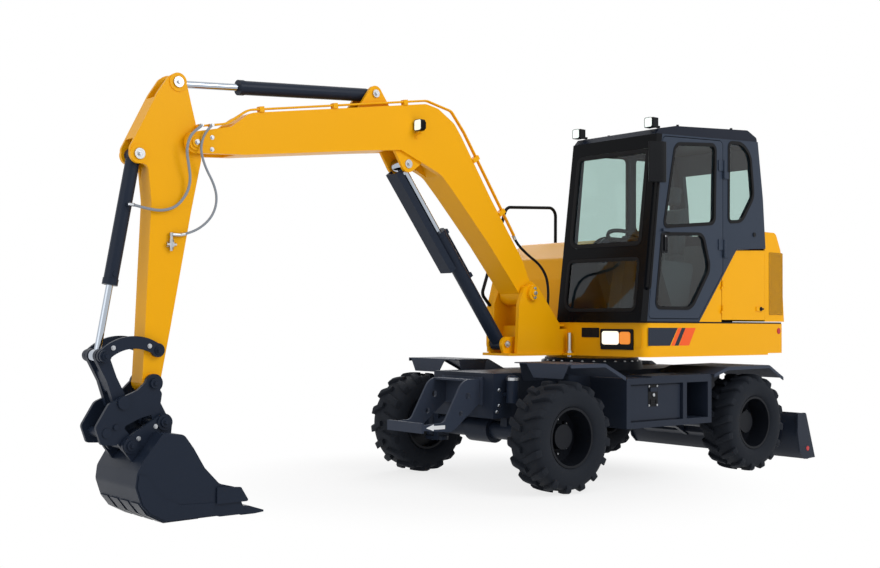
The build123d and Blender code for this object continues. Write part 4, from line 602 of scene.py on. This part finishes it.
# %% Lay the hoses
def add_hose(name, points, radius, length, finish, body, replaced):
    curve = bpy.data.curves.new(name, "CURVE")
    curve.dimensions = "3D"
    curve.bevel_depth = radius / 1000
    curve.bevel_resolution = 5
    curve.resolution_u = 10
    curve.use_fill_caps = True
    spline = curve.splines.new("NURBS")
    spline.points.add(len(points) - 1)
    for point, place in zip(spline.points, points):
        point.co = (*at(*place), 1.0)
    spline.order_u = 3
    spline.use_endpoint_u = True
    curve.materials.append(finish)
    hose = add_object(name, curve)
    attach(hose, body)
    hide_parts(replaced)


BUCKET_HOSE = (
    (3846, 121.4, 2506), (3846, 162, 2506), (3890, 166, 2474), (3936, 160, 2424), (3953, 148, 2337),
    (3926, 135, 2233), (3907, 122, 2149), (3923, 110, 2062), (3992, 102, 1971), (4096, 98, 1938),
    (4209, 95, 1951), (4275, 88, 1966), (4299, 63, 1971),
)
VALVE_HOSE = (
    (3769, 121.4, 2516), (3769, 152, 2516), (3806, 158, 2484), (3840, 156, 2430), (3856, 152, 2347),
    (3819, 146, 2242), (3744, 138, 2130), (3718, 132, 2034), (3741, 122, 1934), (3813, 112, 1854),
    (3905, 98, 1806), (3963, 94, 1795),
)
FOOT_HOSE = (
    (1029.8, 97, 1944.7), (995.4, 97, 1895.6), (935, 90, 1849), (822, 75, 1786), (700, 62, 1730),
    (616, 60, 1640), (590, 60, 1530), (592, 60, 1410), (606, 60, 1290),
)
HOSES = (
    # name, points, radius in mm, length in m, finish, body, node it stands for
    ("bucket_hose", BUCKET_HOSE, 9, 0.952, grey_hose, "arm", "hose_bucket"),
    ("valve_hose", VALVE_HOSE, 8, 0.929, grey_hose, "arm", "hose_valve"),
    ("foot_hose", FOOT_HOSE, 11, 0.873, black_hose, "boom", "hose_foot"),
)
for hose in HOSES:
    add_hose(*hose)
print("hoses laid", len(HOSES))

# %% Crimp a sleeve and a nut on every hose end
NUT_WALL, NUT_LENGTH = 0.004, 0.014
SLEEVE_WALL, SLEEVE_LENGTH = 0.0022, 0.022

for name, points, radius, _, _, body, _ in HOSES:
    bm = bmesh.new()
    for end, toward in ((points[0], points[1]), (points[-1], points[-2])):
        start = at(*end)
        along = (at(*toward) - start).normalized()
        add_disc(bm, start, along, radius / 1000 + NUT_WALL, NUT_LENGTH, 6)
        add_disc(bm, start + along * NUT_LENGTH, along, radius / 1000 + SLEEVE_WALL, SLEEVE_LENGTH, 24)
    settle(f"{name}_ends", bm, zinc_steel, body)
print("hose ends crimped", 2 * len(HOSES))

# %% [markdown]
# ## Tyres with moulded lugs
# The carcass is one profile spun round the axle. A lug starts as a cube, is cut across into short
# stretches and then bent onto the tyre: its foot stays in the rubber, its top follows the crown, and at
# the shoulder it turns down the sidewall. Copies turned by one pitch fill both rows, half a pitch apart.

# %% Draw the carcass and one lug
TYRE_RADIUS, LUG_COUNT = 0.412, 16
LUG_FOOT_ACROSS = 0.1475
CARCASS = (
    (0.2125, 0.112), (0.224, 0.120), (0.232, 0.134), (0.252, 0.146), (0.285, 0.152), (0.315, 0.153),
    (0.345, 0.148), (0.366, 0.138), (0.378, 0.118), (0.383, 0.070), (0.384, 0.0),
)
LUG_STATIONS = (
    # across the tyre, top radius, foot radius, turn round the wheel in mm, half breadth in mm
    (0.006, 0.4115, 0.376, 0, 20), (0.050, 0.4115, 0.376, 18, 23), (0.095, 0.410, 0.374, 38, 26),
    (0.126, 0.406, 0.368, 52, 28), (0.146, 0.394, 0.352, 58, 29), (0.1525, 0.372, 0.335, 60, 27),
)


def build_carcass(bm):
    profile = [*CARCASS, *[(r, -y) for r, y in reversed(CARCASS[:-1])]]
    verts = [bm.verts.new((r, y, 0)) for r, y in profile]
    edges = [bm.edges.new(pair) for pair in zip(verts, [*verts[1:], verts[0]])]
    bmesh.ops.spin(
        bm, geom=[*verts, *edges], axis=(0, 1, 0), cent=(0, 0, 0), angle=2 * math.pi, steps=96,
        use_merge=True,
    )


def build_lug(bm):
    bmesh.ops.create_cube(bm, size=1)
    long_edges = [e for e in bm.edges if abs(e.verts[0].co.y - e.verts[1].co.y) > 0.5]
    bmesh.ops.subdivide_edges(bm, edges=long_edges, cuts=len(LUG_STATIONS) - 2, use_grid_fill=True)
    top_edges = [e for e in bm.edges if all(v.co.z > 0.4 for v in e.verts)
                 and (abs(e.verts[0].co.x - e.verts[1].co.x) < 0.1)]
    bmesh.ops.bevel(bm, geom=top_edges, offset=0.12, segments=2, profile=0.5, affect="EDGES")
    for vert in bm.verts:
        share = (vert.co.y + 0.5) * (len(LUG_STATIONS) - 1)
        start = min(int(share), len(LUG_STATIONS) - 2)
        mix = share - start
        across, top, foot, turn, half = (
            a + (b - a) * mix for a, b in zip(LUG_STATIONS[start], LUG_STATIONS[start + 1])
        )
        height = vert.co.z + 0.5
        radius = foot + (top - foot) * height
        narrow = 1.12 - 0.14 * height
        angle = (turn + vert.co.x * 2 * half * narrow) / 1000 / TYRE_RADIUS
        outward = across if vert.co.z > 0 else min(across, LUG_FOOT_ACROSS)
        vert.co = Vector((radius * math.cos(angle), outward, radius * math.sin(angle)))


print("carcass of", len(CARCASS), "points, lug of", len(LUG_STATIONS), "stations")

# %% Copy the lug round the tyre and set four tyres
tyre = bmesh.new()
build_lug(tyre)
pitch = 2 * math.pi / LUG_COUNT
mirrored = only_verts(bmesh.ops.duplicate(tyre, geom=[*tyre.verts, *tyre.edges, *tyre.faces])["geom"])
bmesh.ops.scale(tyre, vec=(1, -1, 1), verts=mirrored)
bmesh.ops.rotate(tyre, cent=(0, 0, 0), matrix=Matrix.Rotation(pitch / 2, 3, "Y"), verts=mirrored)
first_pair = [*tyre.verts, *tyre.edges, *tyre.faces]
for step in range(1, LUG_COUNT):
    copied = only_verts(bmesh.ops.duplicate(tyre, geom=first_pair)["geom"])
    bmesh.ops.rotate(tyre, cent=(0, 0, 0), matrix=Matrix.Rotation(step * pitch, 3, "Y"), verts=copied)
build_carcass(tyre)
HALF_TRACK, HUB_HEIGHT = 823, 412
AXLES = (("front", 1240), ("rear", -1004))
WHEELS = [(f"{axle}_{side}", axle_x, hand) for axle, axle_x in AXLES for side, hand in SIDES]
for wheel, x, hand in WHEELS:
    copy = tyre.copy()
    turned = Matrix.Rotation(math.pi if hand < 0 else 0, 4, "Z")
    hub = Matrix.Translation(at(x, hand * HALF_TRACK, HUB_HEIGHT))
    bmesh.ops.transform(copy, matrix=hub @ turned, verts=copy.verts)
    settle(f"moulded_tyre_{wheel}", copy, tyre_rubber, f"wheel_{wheel}", 40, (f"tyre_{wheel}",))
tyre.free()
print("four tyres with", 2 * LUG_COUNT, "lugs each")

# %% [markdown]
# ## Window seals
# Every pane sits in a black rubber section. Each seal follows the same rounded corners as its opening
# and laps over the glass by a thumb's breadth.

# %% Fit the window seals
SIDE_GLASS = (
    # name, body, outer face in mm, side, radius, corners (x, z)
    ("door_upper_seal", "cab_door", 950, 1, 60, ((205, 2013), (60, 2690), (-470, 2735), (-455, 2077))),
    ("door_lower_seal", "cab_door", 950, 1, 60,
     ((300, 1370), (222, 1960), (-300, 1985), (-395, 1700), (-150, 1370))),
    ("quarter_seal", "upper", 950, 1, 50,
     ((-641, 2775), (-840, 2785), (-960, 2690), (-1003, 2339.8), (-831, 2118.7), (-636, 2100))),
    ("right_front_seal", "upper", 50, -1, 60,
     ((300, 1700), (190, 2680), (-400, 2710), (-400, 1980), (-60, 1980))),
    ("right_rear_seal", "upper", 50, -1, 60,
     ((-470, 2710), (-960, 2730), (-1010, 2339.8), (-1010, 2079.7), (-470, 2050))),
)
LAP = 1.035
for name, body, face_y, hand, radius, opening in SIDE_GLASS:
    corners = [(u, v, radius) for u, v in opening]
    middle_u = sum(u for u, _ in opening) / len(opening)
    middle_v = sum(v for _, v in opening) / len(opening)
    wide = [
        (middle_u + (u - middle_u) * LAP, middle_v + (v - middle_v) * LAP, radius + 8) for u, v in opening
    ]
    bm = bmesh.new()
    add_ring(bm, wide, beside(face_y + hand * 0.1), 0.026, Vector((0, hand * 0.004, 0)))
    add_ring(bm, corners, beside(face_y - hand * 11.6), 0.016, Vector((0, hand * 0.0136, 0)))
    settle(name, bm, seal_rubber, body)
print("side seals", len(SIDE_GLASS))

# %% [markdown]
# ## The windscreen's frame
# The two front panes lean back with the cab. Their seals are set in the leaning plane, which is
# measured up the slope from the cab's front foot.

# %% Seal the two front panes
LEAN = math.atan2(193, 1482)
SCREEN_FOOT_X, SCREEN_FOOT_Z = 478, 1266


def on_screen(proud):
    """Function that puts (y, distance up the slope) in mm, standing proud of the screen plane in mm."""
    def place(across, rise):
        x = SCREEN_FOOT_X - math.sin(LEAN) * rise + math.cos(LEAN) * proud
        return at(x, across, SCREEN_FOOT_Z + math.cos(LEAN) * rise + math.sin(LEAN) * proud)
    return place


FRONT_SEALS = (
    ("windscreen_seal", ((112, 602, 88), (112, 1383, 58), (888, 1383, 58), (888, 602, 58)), 0.034),
    ("lower_screen_seal", ((112, 77, 98), (112, 510, 58), (888, 510, 58), (888, 77, 58)), 0.026),
)
screen_normal = Vector((math.cos(LEAN), 0, math.sin(LEAN)))
for name, corners, width in FRONT_SEALS:
    fit_ring(name, corners, on_screen(-9.6), width, screen_normal * 0.012, seal_rubber, "upper")
print("front seals", len(FRONT_SEALS))

# %% [markdown]
# ## Lamps and lenses
# The headlamps sit in the band's sloping front behind a black bezel, with the clear lens toward the
# boom and the amber indicator outside it. The roof and the boom carry square work lamps.

# %% Fit the headlamps
BAND_FRONT_X, BAND_BEND_Y, BAND_SLOPE = 470, 250, 73 / 685


def on_band(proud):
    """Function that puts (y, height) in mm, standing proud of the band's sloping front in mm."""
    def place(across, height):
        return at(BAND_FRONT_X - (abs(across) - BAND_BEND_Y) * BAND_SLOPE + proud, across, height)
    return place


BAND_LENSES = (
    # name, nearest and farthest y, lowest and highest z, finish
    ("headlamp", 532, 690, 1080, 1186, warm_lens), ("indicator", 700, 800, 1084, 1182, amber_lens),
)
for side, hand in SIDES:
    outward = Vector((0.007, hand * 0.0007, 0))
    for name, near, far, low, high, finish in BAND_LENSES:
        lens = rounded(hand * near, hand * far, low, high, 20)
        fit_panel(f"{name}_lens_{side}", lens, on_band(12.2), outward, finish, "upper")
    bezel = rounded(hand * 514, hand * 822, 1062, 1204, 14)
    fit_ring(f"headlamp_bezel_{side}", bezel, on_band(4), 0.016, outward * 2.2, grained_nylon, "upper")
    cover = rounded(hand * 826, hand * 898, 1062, 1204, 6)
    fit_panel(f"headlamp_cover_{side}", cover, on_band(0.2), outward * 0.6, yellow_enamel, "upper")
print("headlamps fitted")

# %% Fit the vent beside the boom
bm = bmesh.new()
add_ring(bm, rounded(320, 492, 1134, 1212, 6), on_band(0.2), 0.008, Vector((0.004, 0, 0)))
add_panel(bm, rounded(322, 490, 1136, 1210), on_band(0.2), Vector((0.0006, 0, 0)))
for row in range(4):
    low = 1146 + row * 16
    add_panel(bm, rounded(328, 484, low, low + 5), on_band(0.6), Vector((0.004, 0, 0)))
add_panel(bm, rounded(402, 410, 1140, 1206), on_band(0.6), Vector((0.005, 0, 0)))
settle("band_vent", bm, grained_nylon, "upper")
print("vent fitted")

# %% Fit the work lamps
BEZEL_MARGIN = 3.5


def facing_ahead(x):
    """Function that puts (y, z) in mm on an upright plane facing forward."""
    return lambda y, z: at(x, y, z)


for name, x, y, z, body, half in (
    ("roof_lamp_right", 312, 110, 2838, "upper", 36), ("roof_lamp_left", 312, 890, 2838, "upper", 36),
    ("boom_lamp_front", 2070, 168, 2707, "boom", 38),
):
    front = facing_ahead(x + 0.2)
    lens = rounded(y - half, y + half, z - half, z + half, 14)
    fit_panel(f"{name}_lens", lens, front, Vector((0.007, 0, 0)), work_lens, body)
    rim = half + BEZEL_MARGIN
    bezel = rounded(y - rim, y + rim, z - rim, z + rim, 17)
    fit_ring(f"{name}_bezel", bezel, front, 0.0032, Vector((0.009, 0, 0)), grained_nylon, body)
print("work lamps fitted")

# %% [markdown]
# ## Markings
# The band carries a dark blank plate and two slanted orange stripes with a dark gap between them, and the
# front bracket a white arrow. All are thin films with no lettering. The counterweight has a round red
# reflector on each side.

# %% Apply the films
BAND_FACE, BRACKET_FACE, COUNTERWEIGHT_FACE = 935.1, 207.1, 935

BAND_FILMS = (
    ("plate", dark_film, ((370, 1216, 0), (8, 1216, 0), (105, 1074, 0), (370, 1074, 0))),
    ("stripe_narrow", orange_film, ((2, 1216, 0), (-43, 1216, 0), (48, 1074, 0), (93, 1074, 0))),
    ("stripe_gap", dark_film, ((-43, 1216, 0), (-90, 1216, 0), (-2, 1074, 0), (48, 1074, 0))),
    ("stripe_wide", orange_film, ((-90, 1216, 0), (-222, 1216, 0), (-136, 1074, 0), (-8, 1074, 0))),
)
ARROW = (
    (2008, 468, 0), (1934, 493, 0), (1934, 481, 0), (1825, 481, 0), (1825, 453, 0), (1934, 453, 0),
    (1934, 443, 0),
)
for side, hand in SIDES:
    proud = Vector((0, hand * 0.0008, 0))
    for name, finish, corners in BAND_FILMS:
        fit_panel(f"{name}_{side}", corners, beside(hand * BAND_FACE), proud, finish, "upper")
    fit_panel(f"arrow_{side}", ARROW, beside(hand * BRACKET_FACE), proud, white_film, "chassis")
    bm = bmesh.new()
    # The red reflector carries a faint painted glow; a reflector gives no light of its own
    add_disc(bm, at(-1385, hand * COUNTERWEIGHT_FACE, 1191), (0, hand, 0), 0.026, 0.003)
    add_disc(bm, at(-1385, hand * (COUNTERWEIGHT_FACE + 3), 1191), (0, hand, 0), 0.022, 0.004, taper=0.9)
    settle(f"reflector_{side}", bm, red_reflector_painted_glow, "upper")
print("films applied")

# %% [markdown]
# ## Pins and their keepers
# Every pin of the digging arm ends in a cap that the eye finds at once: bright washers and nuts on the
# yellow plates, and dark caps on the dark links, most with bright keeper bolts beside them.

# %% Cap the pins
PINS = (
    # name, body, pin centre (x, z), its end's y, washer radius, finish, keeper bolts (x, z, y of plate)
    ("arm_eye", "arm", (3981, 2778), 86, 36, zinc_steel, ()),
    ("bucket_base", "arm", (4242, 2291), 86, 36, zinc_steel, ()),
    ("arm_base", "boom", (2403, 2909), 88, 30, zinc_steel, ()),
    ("boom_eye", "boom", (2102, 2422), 95, 34, zinc_steel, ()),
    ("boom_base", "upper", (1085, 1078), 96, 28, zinc_steel, ()),
    ("foot", "upper", (876, 1487), 194, 34, yellow_enamel, ((876, 1452, 194), (876, 1522, 194))),
    ("arm_root", "boom", (3870, 2396), 131, 34, yellow_enamel, ((3752, 2440, 115), (3752, 2362, 115))),
    ("guide", "arm", (4108, 1061), 112, 26, gear_enamel, ()),
    ("link", "guide_links", (4466, 1029), 140, 26, gear_enamel, ((4408, 1078, 110), (4168, 1088, 110))),
    ("tip", "bucket", (4136, 855), 132, 32, gear_enamel, ()),
    ("bucket_rear", "bucket", (4081, 612), 170, 32, gear_enamel, ((4140, 590, 152),)),
    ("bucket_front", "bucket", (4304, 480), 170, 32, gear_enamel, ((4254, 520, 152),)),
)
CAP_DEPTH, NUT_SIZE, KEEPER_SIZE = 6, 0.026, 0.022

for name, body, (x, z), face, radius, finish, bolts in PINS:
    caps, keepers = bmesh.new(), bmesh.new()
    dark = finish is gear_enamel
    for hand in (1, -1):
        add_disc(caps, at(x, hand * face, z), (0, hand, 0), radius / 1000, CAP_DEPTH / 1000, taper=0.96)
        add_bolt(caps if dark else keepers, at(x, hand * (face + CAP_DEPTH), z), (0, hand, 0), NUT_SIZE)
        for bolt_x, bolt_z, plate in bolts:
            add_bolt(keepers, at(bolt_x, hand * plate, bolt_z), (0, hand, 0), KEEPER_SIZE)
    settle(f"pin_caps_{name}", caps, finish, body)
    if keepers.verts:
        settle(f"pin_bolts_{name}", keepers, zinc_steel, body)
    else:
        keepers.free()
print("pins capped", len(PINS))

# %% [markdown]
# ## Valve on the arm
# The shut-off valve low on the arm is a cross of bright fittings: a socket that takes the hose, a stem,
# the cross itself and a plug.

# %% Build the valve fittings
VALVE_STUBS = (
    # place in mm, direction, radius and depth in m, sides
    ((3963, 94, 1795), (1, 0, 0), 0.011, 0.058, 24), ((4021, 94, 1806), (0, 0, -1), 0.014, 0.022, 6),
    ((4021, 94, 1784), (0, 0, -1), 0.010, 0.030, 24), ((4021, 94, 1762), (0, 0, -1), 0.016, 0.014, 6),
    ((4021, 94, 1748), (0, 0, -1), 0.013, 0.036, 24), ((4054, 94, 1731), (-1, 0, 0), 0.012, 0.066, 6),
    ((4021, 94, 1712), (0, 0, -1), 0.014, 0.012, 6), ((4021, 94, 1700), (0, 0, -1), 0.009, 0.010, 24),
    ((4021, 75, 1731), (0, 1, 0), 0.018, 0.030, 24),
)
bm = bmesh.new()
for place, *shape in VALVE_STUBS:
    add_disc(bm, at(*place), *shape)
add_panel(bm, rounded(3996, 4046, 1716, 1746), beside(75.2), Vector((0, 0.006, 0)))
settle("valve_fittings", bm, zinc_steel, "arm", replaced=("arm_valve",))
print("valve fitted")

# %% [markdown]
# ## Cab fittings
# The door has a black grab recess near its front edge, and the mirror a silvered face toward the
# driver. The roof has four rubber buffers, the covers have round locks, and punched screens let the
# engine's warm air out of the hood.

# %% Fit the door's handle and lock
DOOR_FACE = 950.1

bm = bmesh.new()
add_ring(bm, rounded(158, 238, 1806, 1964, 22), beside(DOOR_FACE), 0.012, Vector((0, 0.007, 0)))
add_panel(bm, rounded(160, 236, 1808, 1962, 20), beside(DOOR_FACE), Vector((0, 0.001, 0)))
add_panel(bm, rounded(184, 204, 1826, 1944, 9), beside(DOOR_FACE + 0.4), Vector((0, 0.014, 0)))
settle("door_handle", bm, grained_nylon, "cab_door")
bm = bmesh.new()
add_disc(bm, at(196, 964.5, 1940), (0, 1, 0), 0.007, 0.002, 24)
settle("door_lock", bm, zinc_steel, "cab_door")
print("door fitted")

# %% Silver the mirror
MIRROR_FROM, MIRROR_TO, MIRROR_GAP = Vector((398, 958)), Vector((268, 1010)), 0.2
mirror_run = (MIRROR_TO - MIRROR_FROM).normalized()


def on_mirror(along, height):
    spot = MIRROR_FROM + mirror_run * along
    return at(spot.x + mirror_run.y * MIRROR_GAP, spot.y + mirror_run.x * MIRROR_GAP, height)


mirror_back = Vector((-mirror_run.y, mirror_run.x, 0))
silvered = rounded(12, 128, 2368, 2656, 16)
fit_panel("mirror_face", silvered, on_mirror, mirror_back * 0.0015, mirror_silver, "upper")
print("mirror silvered")

# %% Fit the buffers, the locks and the hood's screens
bm = bmesh.new()
for x, z in ((-71, 2838), (-790, 2891)):
    for y in (130, 870):
        add_disc(bm, at(x, y, z), (0, 0, 1), 0.013, 0.026, 24, 0.85)
settle("roof_buffers", bm, seal_rubber, "upper")

bm = bmesh.new()
add_disc(bm, at(-1109, 944, 1380), (0, 1, 0), 0.018, 0.005)
add_panel(bm, rounded(-1140, -1106, 1372, 1388, 6), beside(948.5), Vector((0, 0.006, 0)))
settle("engine_door_lock", bm, grained_nylon, "engine_door")
bm = bmesh.new()
add_disc(bm, at(-1003, 950, 2015), (0, 1, 0), 0.019, 0.008)
settle("filler_lock", bm, grained_nylon, "upper")

HOOD_FACE = 930.2
# The screens' holes are painted dark, as painted shade of the hood's inside
sheet = rounded(-1246, -1454, 1330, 1876, 12)
for side, hand in SIDES:
    outward = Vector((0, hand * 0.002, 0))
    fit_panel(f"hood_screen_{side}", sheet, beside(hand * HOOD_FACE), outward, sheet_with_painted_hole_shade, "rear_hood")
print("buffers, locks and screens fitted")

# %% [markdown]
# ## Bucket wear parts
# Flat plates guard the lower corner of each side, and four straps follow the curve of the bottom.

# %% Weld the wear parts on
SIDE_PLATE = (
    (3800, 22, 0), (4130, 20, 0), (4236, 76, 0), (4286, 134, 0), (4322, 240, 0), (4313, 318, 0),
    (4255, 300, 0), (4180, 180, 0), (4040, 110, 0), (3800, 100, 0),
)
STRAP = (
    (3900, 9, 0), (4139, 6, 0), (4252, 65, 0), (4308, 138, 0), (4298, 144, 0), (4243, 75, 0), (4136, 17, 0),
    (3900, 19, 0),
)
BUCKET_FACE, STRAP_WIDTH = 286.9, 104

bm = bmesh.new()
for hand in (1, -1):
    add_panel(bm, SIDE_PLATE, beside(hand * BUCKET_FACE), Vector((0, hand * 0.006, 0)))
for y in (-216, -72, 72, 216):
    add_panel(bm, STRAP, beside(y - STRAP_WIDTH / 2), Vector((0, STRAP_WIDTH / 1000, 0)))
settle("bucket_wear_parts", bm, gear_enamel, "bucket")
print("wear parts welded")

# %% [markdown]
# ## Undercarriage fittings
# The tool box door carries a latch plate held by four screws, studs stand out of the wheel nuts, a row of
# bolts holds the slewing ring down, an accumulator with a bright cap stands on each side of the frame, and
# each end of the blade has a round red reflector.

# %% Latch the tool boxes
TOOL_DOOR_FACE, LATCH_DEPTH = 913.2, 2.4
for side, hand in SIDES:
    outward = Vector((0, hand, 0))
    bm = bmesh.new()
    add_panel(bm, rounded(231, 346, 600, 768, 8), beside(hand * TOOL_DOOR_FACE), outward * LATCH_DEPTH / 1000)
    add_ring(bm, rounded(250, 322, 616, 656, 6), beside(hand * TOOL_DOOR_FACE), 0.005, outward * 0.007)
    settle(f"latch_plate_{side}", bm, black_enamel, "chassis")
    screwed_on = hand * (TOOL_DOOR_FACE + LATCH_DEPTH - 0.2)
    bm = bmesh.new()
    for x, z in ((240, 609), (337, 609), (240, 759), (337, 759)):
        add_bolt(bm, at(x, screwed_on, z), outward, 0.012)
    add_disc(bm, at(286, screwed_on, 690), outward, 0.013, 0.008)
    settle(f"latch_screws_{side}", bm, zinc_steel, "chassis")
print("tool boxes latched")

# %% Set the studs and the ring's bolts
STUDS, STUD_CIRCLE, STUD_FOOT = 8, 128, 29.2
RING_BOLTS, RING_BOLT_CIRCLE, PEDESTAL_TOP = 28, 415, 929.8


def circle(count, radius, start=0.0):
    """Places spaced evenly on a circle, from start steps round, in mm from its middle."""
    turns = [math.tau * (step + start) / count for step in range(count)]
    return [(radius * math.cos(turn), radius * math.sin(turn)) for turn in turns]


for wheel, x, hand in WHEELS:
    bm = bmesh.new()
    for ahead, rise in circle(STUDS, STUD_CIRCLE):
        spot = at(x + ahead, hand * (HALF_TRACK - STUD_FOOT), HUB_HEIGHT + rise)
        add_disc(bm, spot, (0, hand, 0), 0.008, 0.014, 16, 0.86)
    settle(f"wheel_studs_{wheel}", bm, zinc_steel, f"wheel_{wheel}")

bm = bmesh.new()
for ahead, across in circle(RING_BOLTS, RING_BOLT_CIRCLE, 0.5):
    add_bolt(bm, at(ahead, across, PEDESTAL_TOP), (0, 0, 1), 0.019)
settle("ring_bolts", bm, zinc_steel, "chassis")
print("ring bolts", RING_BOLTS)

# %% Stand the accumulators and fit the blade's reflectors
TANK_X, TANK_Y, TANK_FOOT, CAP_FOOT, DOME_FOOT = 1330, 412, 640, 810, 832

tank, cap = bmesh.new(), bmesh.new()
for hand in (1, -1):
    add_disc(tank, at(TANK_X, hand * TANK_Y, TANK_FOOT), (0, 0, 1), 0.046, 0.17)
    add_disc(cap, at(TANK_X, hand * TANK_Y, CAP_FOOT), (0, 0, 1), 0.049, 0.022)
    add_disc(tank, at(TANK_X, hand * TANK_Y, DOME_FOOT), (0, 0, 1), 0.045, 0.016, taper=0.6)
    add_panel(tank, rounded(1290, 1370, 690, 716), beside(hand * 349), Vector((0, hand * 0.03, 0)))
    for x, z in ((1410, 735), (1410, 617), (1432, 570)):
        add_bolt(cap, at(x, hand * 349.8, z), (0, hand, 0), 0.024)
settle("accumulators", tank, gear_enamel, "chassis")
settle("frame_bolts", cap, zinc_steel, "chassis")

bm = bmesh.new()
for hand in (1, -1):
    # The blade's red reflectors carry a faint painted glow; a reflector gives no light of its own
    add_disc(bm, at(-1767, hand * 974.6, 147), (0, hand, 0), 0.022, 0.005, taper=0.9)
settle("blade_reflectors", bm, red_reflector_painted_glow, "blade")
print("undercarriage fitted")

# %% [markdown]
# ## Driver's seat
# The seat is stuffed, so each pad starts as a slightly small box and is blown up by a cloth simulation.
# A pad keeps close to its first shape, because no point may travel further than a set cap. Sewn
# channels are pressed in afterwards, and one subdivision smooths the cover.

# %% Make the seat's fabric
THREAD_MM = 3.0

# Ribbed grey seat cloth
ribbed = surface("#3C434B", 0.86, 0.2) | {"Sheen Weight": 0.15}
seat_cloth, tree, shader = start_material("seat_cloth", ribbed)
place = add_node(tree, "TexCoord")
waves = [
    add_node(
        tree, "TexWave", {"Vector": place.outputs["Object"]}, {"Scale": 1000 / (THREAD_MM * 20)},
        bands_direction=direction,
    )
    for direction in ("Y", "Z")
]
weave = add_node(tree, "Math", {0: waves[0].outputs["Fac"], 1: waves[1].outputs["Fac"]}, operation="MAXIMUM")
add_bump(tree, shader, weave.outputs["Value"], 0.4, 0.0008)
print("materials in all", len(bpy.data.materials))

# %% Blow up a pad
PRESSURE, LAST_MOMENT = 4.0, 20


def evaluated(piece):
    graph = bpy.context.evaluated_depsgraph_get()
    return bpy.data.meshes.new_from_object(piece.evaluated_get(graph), depsgraph=graph)


def blow_up(piece, cap):
    rest = [vert.co.copy() for vert in piece.data.vertices]
    cloth = piece.modifiers.new("stuffing", "CLOTH")
    cloth.settings.use_pressure = True
    cloth.settings.uniform_pressure_force = PRESSURE
    cloth.settings.effector_weights.gravity = 0.0
    for moment in range(1, LAST_MOMENT + 1):
        bpy.context.scene.frame_set(moment)
    swollen = evaluated(piece)
    piece.modifiers.remove(cloth)
    bpy.context.scene.frame_set(1)
    for vert, start, moved in zip(piece.data.vertices, rest, swollen.vertices):
        travel = moved.co - start
        if travel.length > cap:
            travel = travel.normalized() * cap
        vert.co = start + travel
    bpy.data.meshes.remove(swollen)


print("pads swell over", LAST_MOMENT, "moments")

# %% Sew the channels and finish a pad
CHANNEL = 0.007
PAD_ROUNDING, SKIN_GRAIN = 0.018, 0.008


def press_channels(piece, channels):
    """Presses seams in along planes across y (axis 1) or z (axis 2), at a distance in mm."""
    normals = [vert.normal.copy() for vert in piece.data.vertices]
    for vert, normal in zip(piece.data.vertices, normals):
        for axis, distance in channels:
            gap = abs(vert.co[axis] - distance / 1000)
            vert.co -= normal * CHANNEL * math.exp(-((gap / CHANNEL) ** 2))


def add_pad(name, rows, low, high, cap, channels):
    bm = bmesh.new()
    add_panel(bm, rows, beside(low), Vector((0, (high - low) / 1000, 0)))
    bmesh.ops.recalc_face_normals(bm, faces=bm.faces)
    sharp = [edge for edge in bm.edges if edge.calc_face_angle(0) > 1.2]
    bmesh.ops.bevel(bm, geom=sharp, offset=PAD_ROUNDING, segments=3, profile=0.5, affect="EDGES")
    piece = settle(name, bm, seat_cloth, "upper", 180)
    remesh = piece.modifiers.new("skin", "REMESH")
    remesh.mode = "VOXEL"
    remesh.voxel_size = SKIN_GRAIN
    skin = evaluated(piece)
    piece.modifiers.clear()
    piece.data = skin
    blow_up(piece, cap)
    press_channels(piece, channels)
    smooth = piece.modifiers.new("cover", "SUBSURF")
    smooth.levels = smooth.render_levels = 1
    for polygon in piece.data.polygons:
        polygon.use_smooth = True
    return piece


cushion = add_pad(
    "seat_cushion", ((-310, 1488, 0), (76, 1488, 0), (84, 1582, 26), (-310, 1574, 0)), 268, 732, 0.014,
    ((1, 360), (1, 640)),
)
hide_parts("seat")
add_pad(
    "seat_back", ((-330, 1586, 0), (-226, 1586, 0), (-352, 2224, 26), (-442, 2224, 26)), 280, 720, 0.014,
    ((1, 370), (1, 630), (2, 1820)),
)
add_pad(
    "seat_headrest", ((-374, 2258, 14), (-440, 2252, 14), (-462, 2404, 20), (-396, 2404, 20)), 378, 622,
    0.010, (),
)

# %% Stand the seat on its suspension
BELLOWS_FOLDS, BELLOWS_FOOT, FOLD = 5, 1316, 32


def level(z):
    """Function that puts (x, y) in mm on the level plane at z mm."""
    return lambda x, y: at(x, y, z)


bm = bmesh.new()
for step in range(BELLOWS_FOLDS):
    inset = 8 if step % 2 else 0
    fold = rounded(-206 + inset, 56 - inset, 374 + inset, 626 - inset, 40)
    add_panel(bm, fold, level(BELLOWS_FOOT + step * FOLD), Vector((0, 0, FOLD / 1000)))
add_panel(bm, rounded(-306, 70, 280, 720, 30), level(1470), Vector((0, 0, 0.016)))
for y in (440, 560):
    add_disc(bm, at(-404, y, 2200), (-0.1, 0, 1), 0.007, 0.075, 16)
settle("seat_suspension", bm, grained_nylon, "upper")
print("seat built")
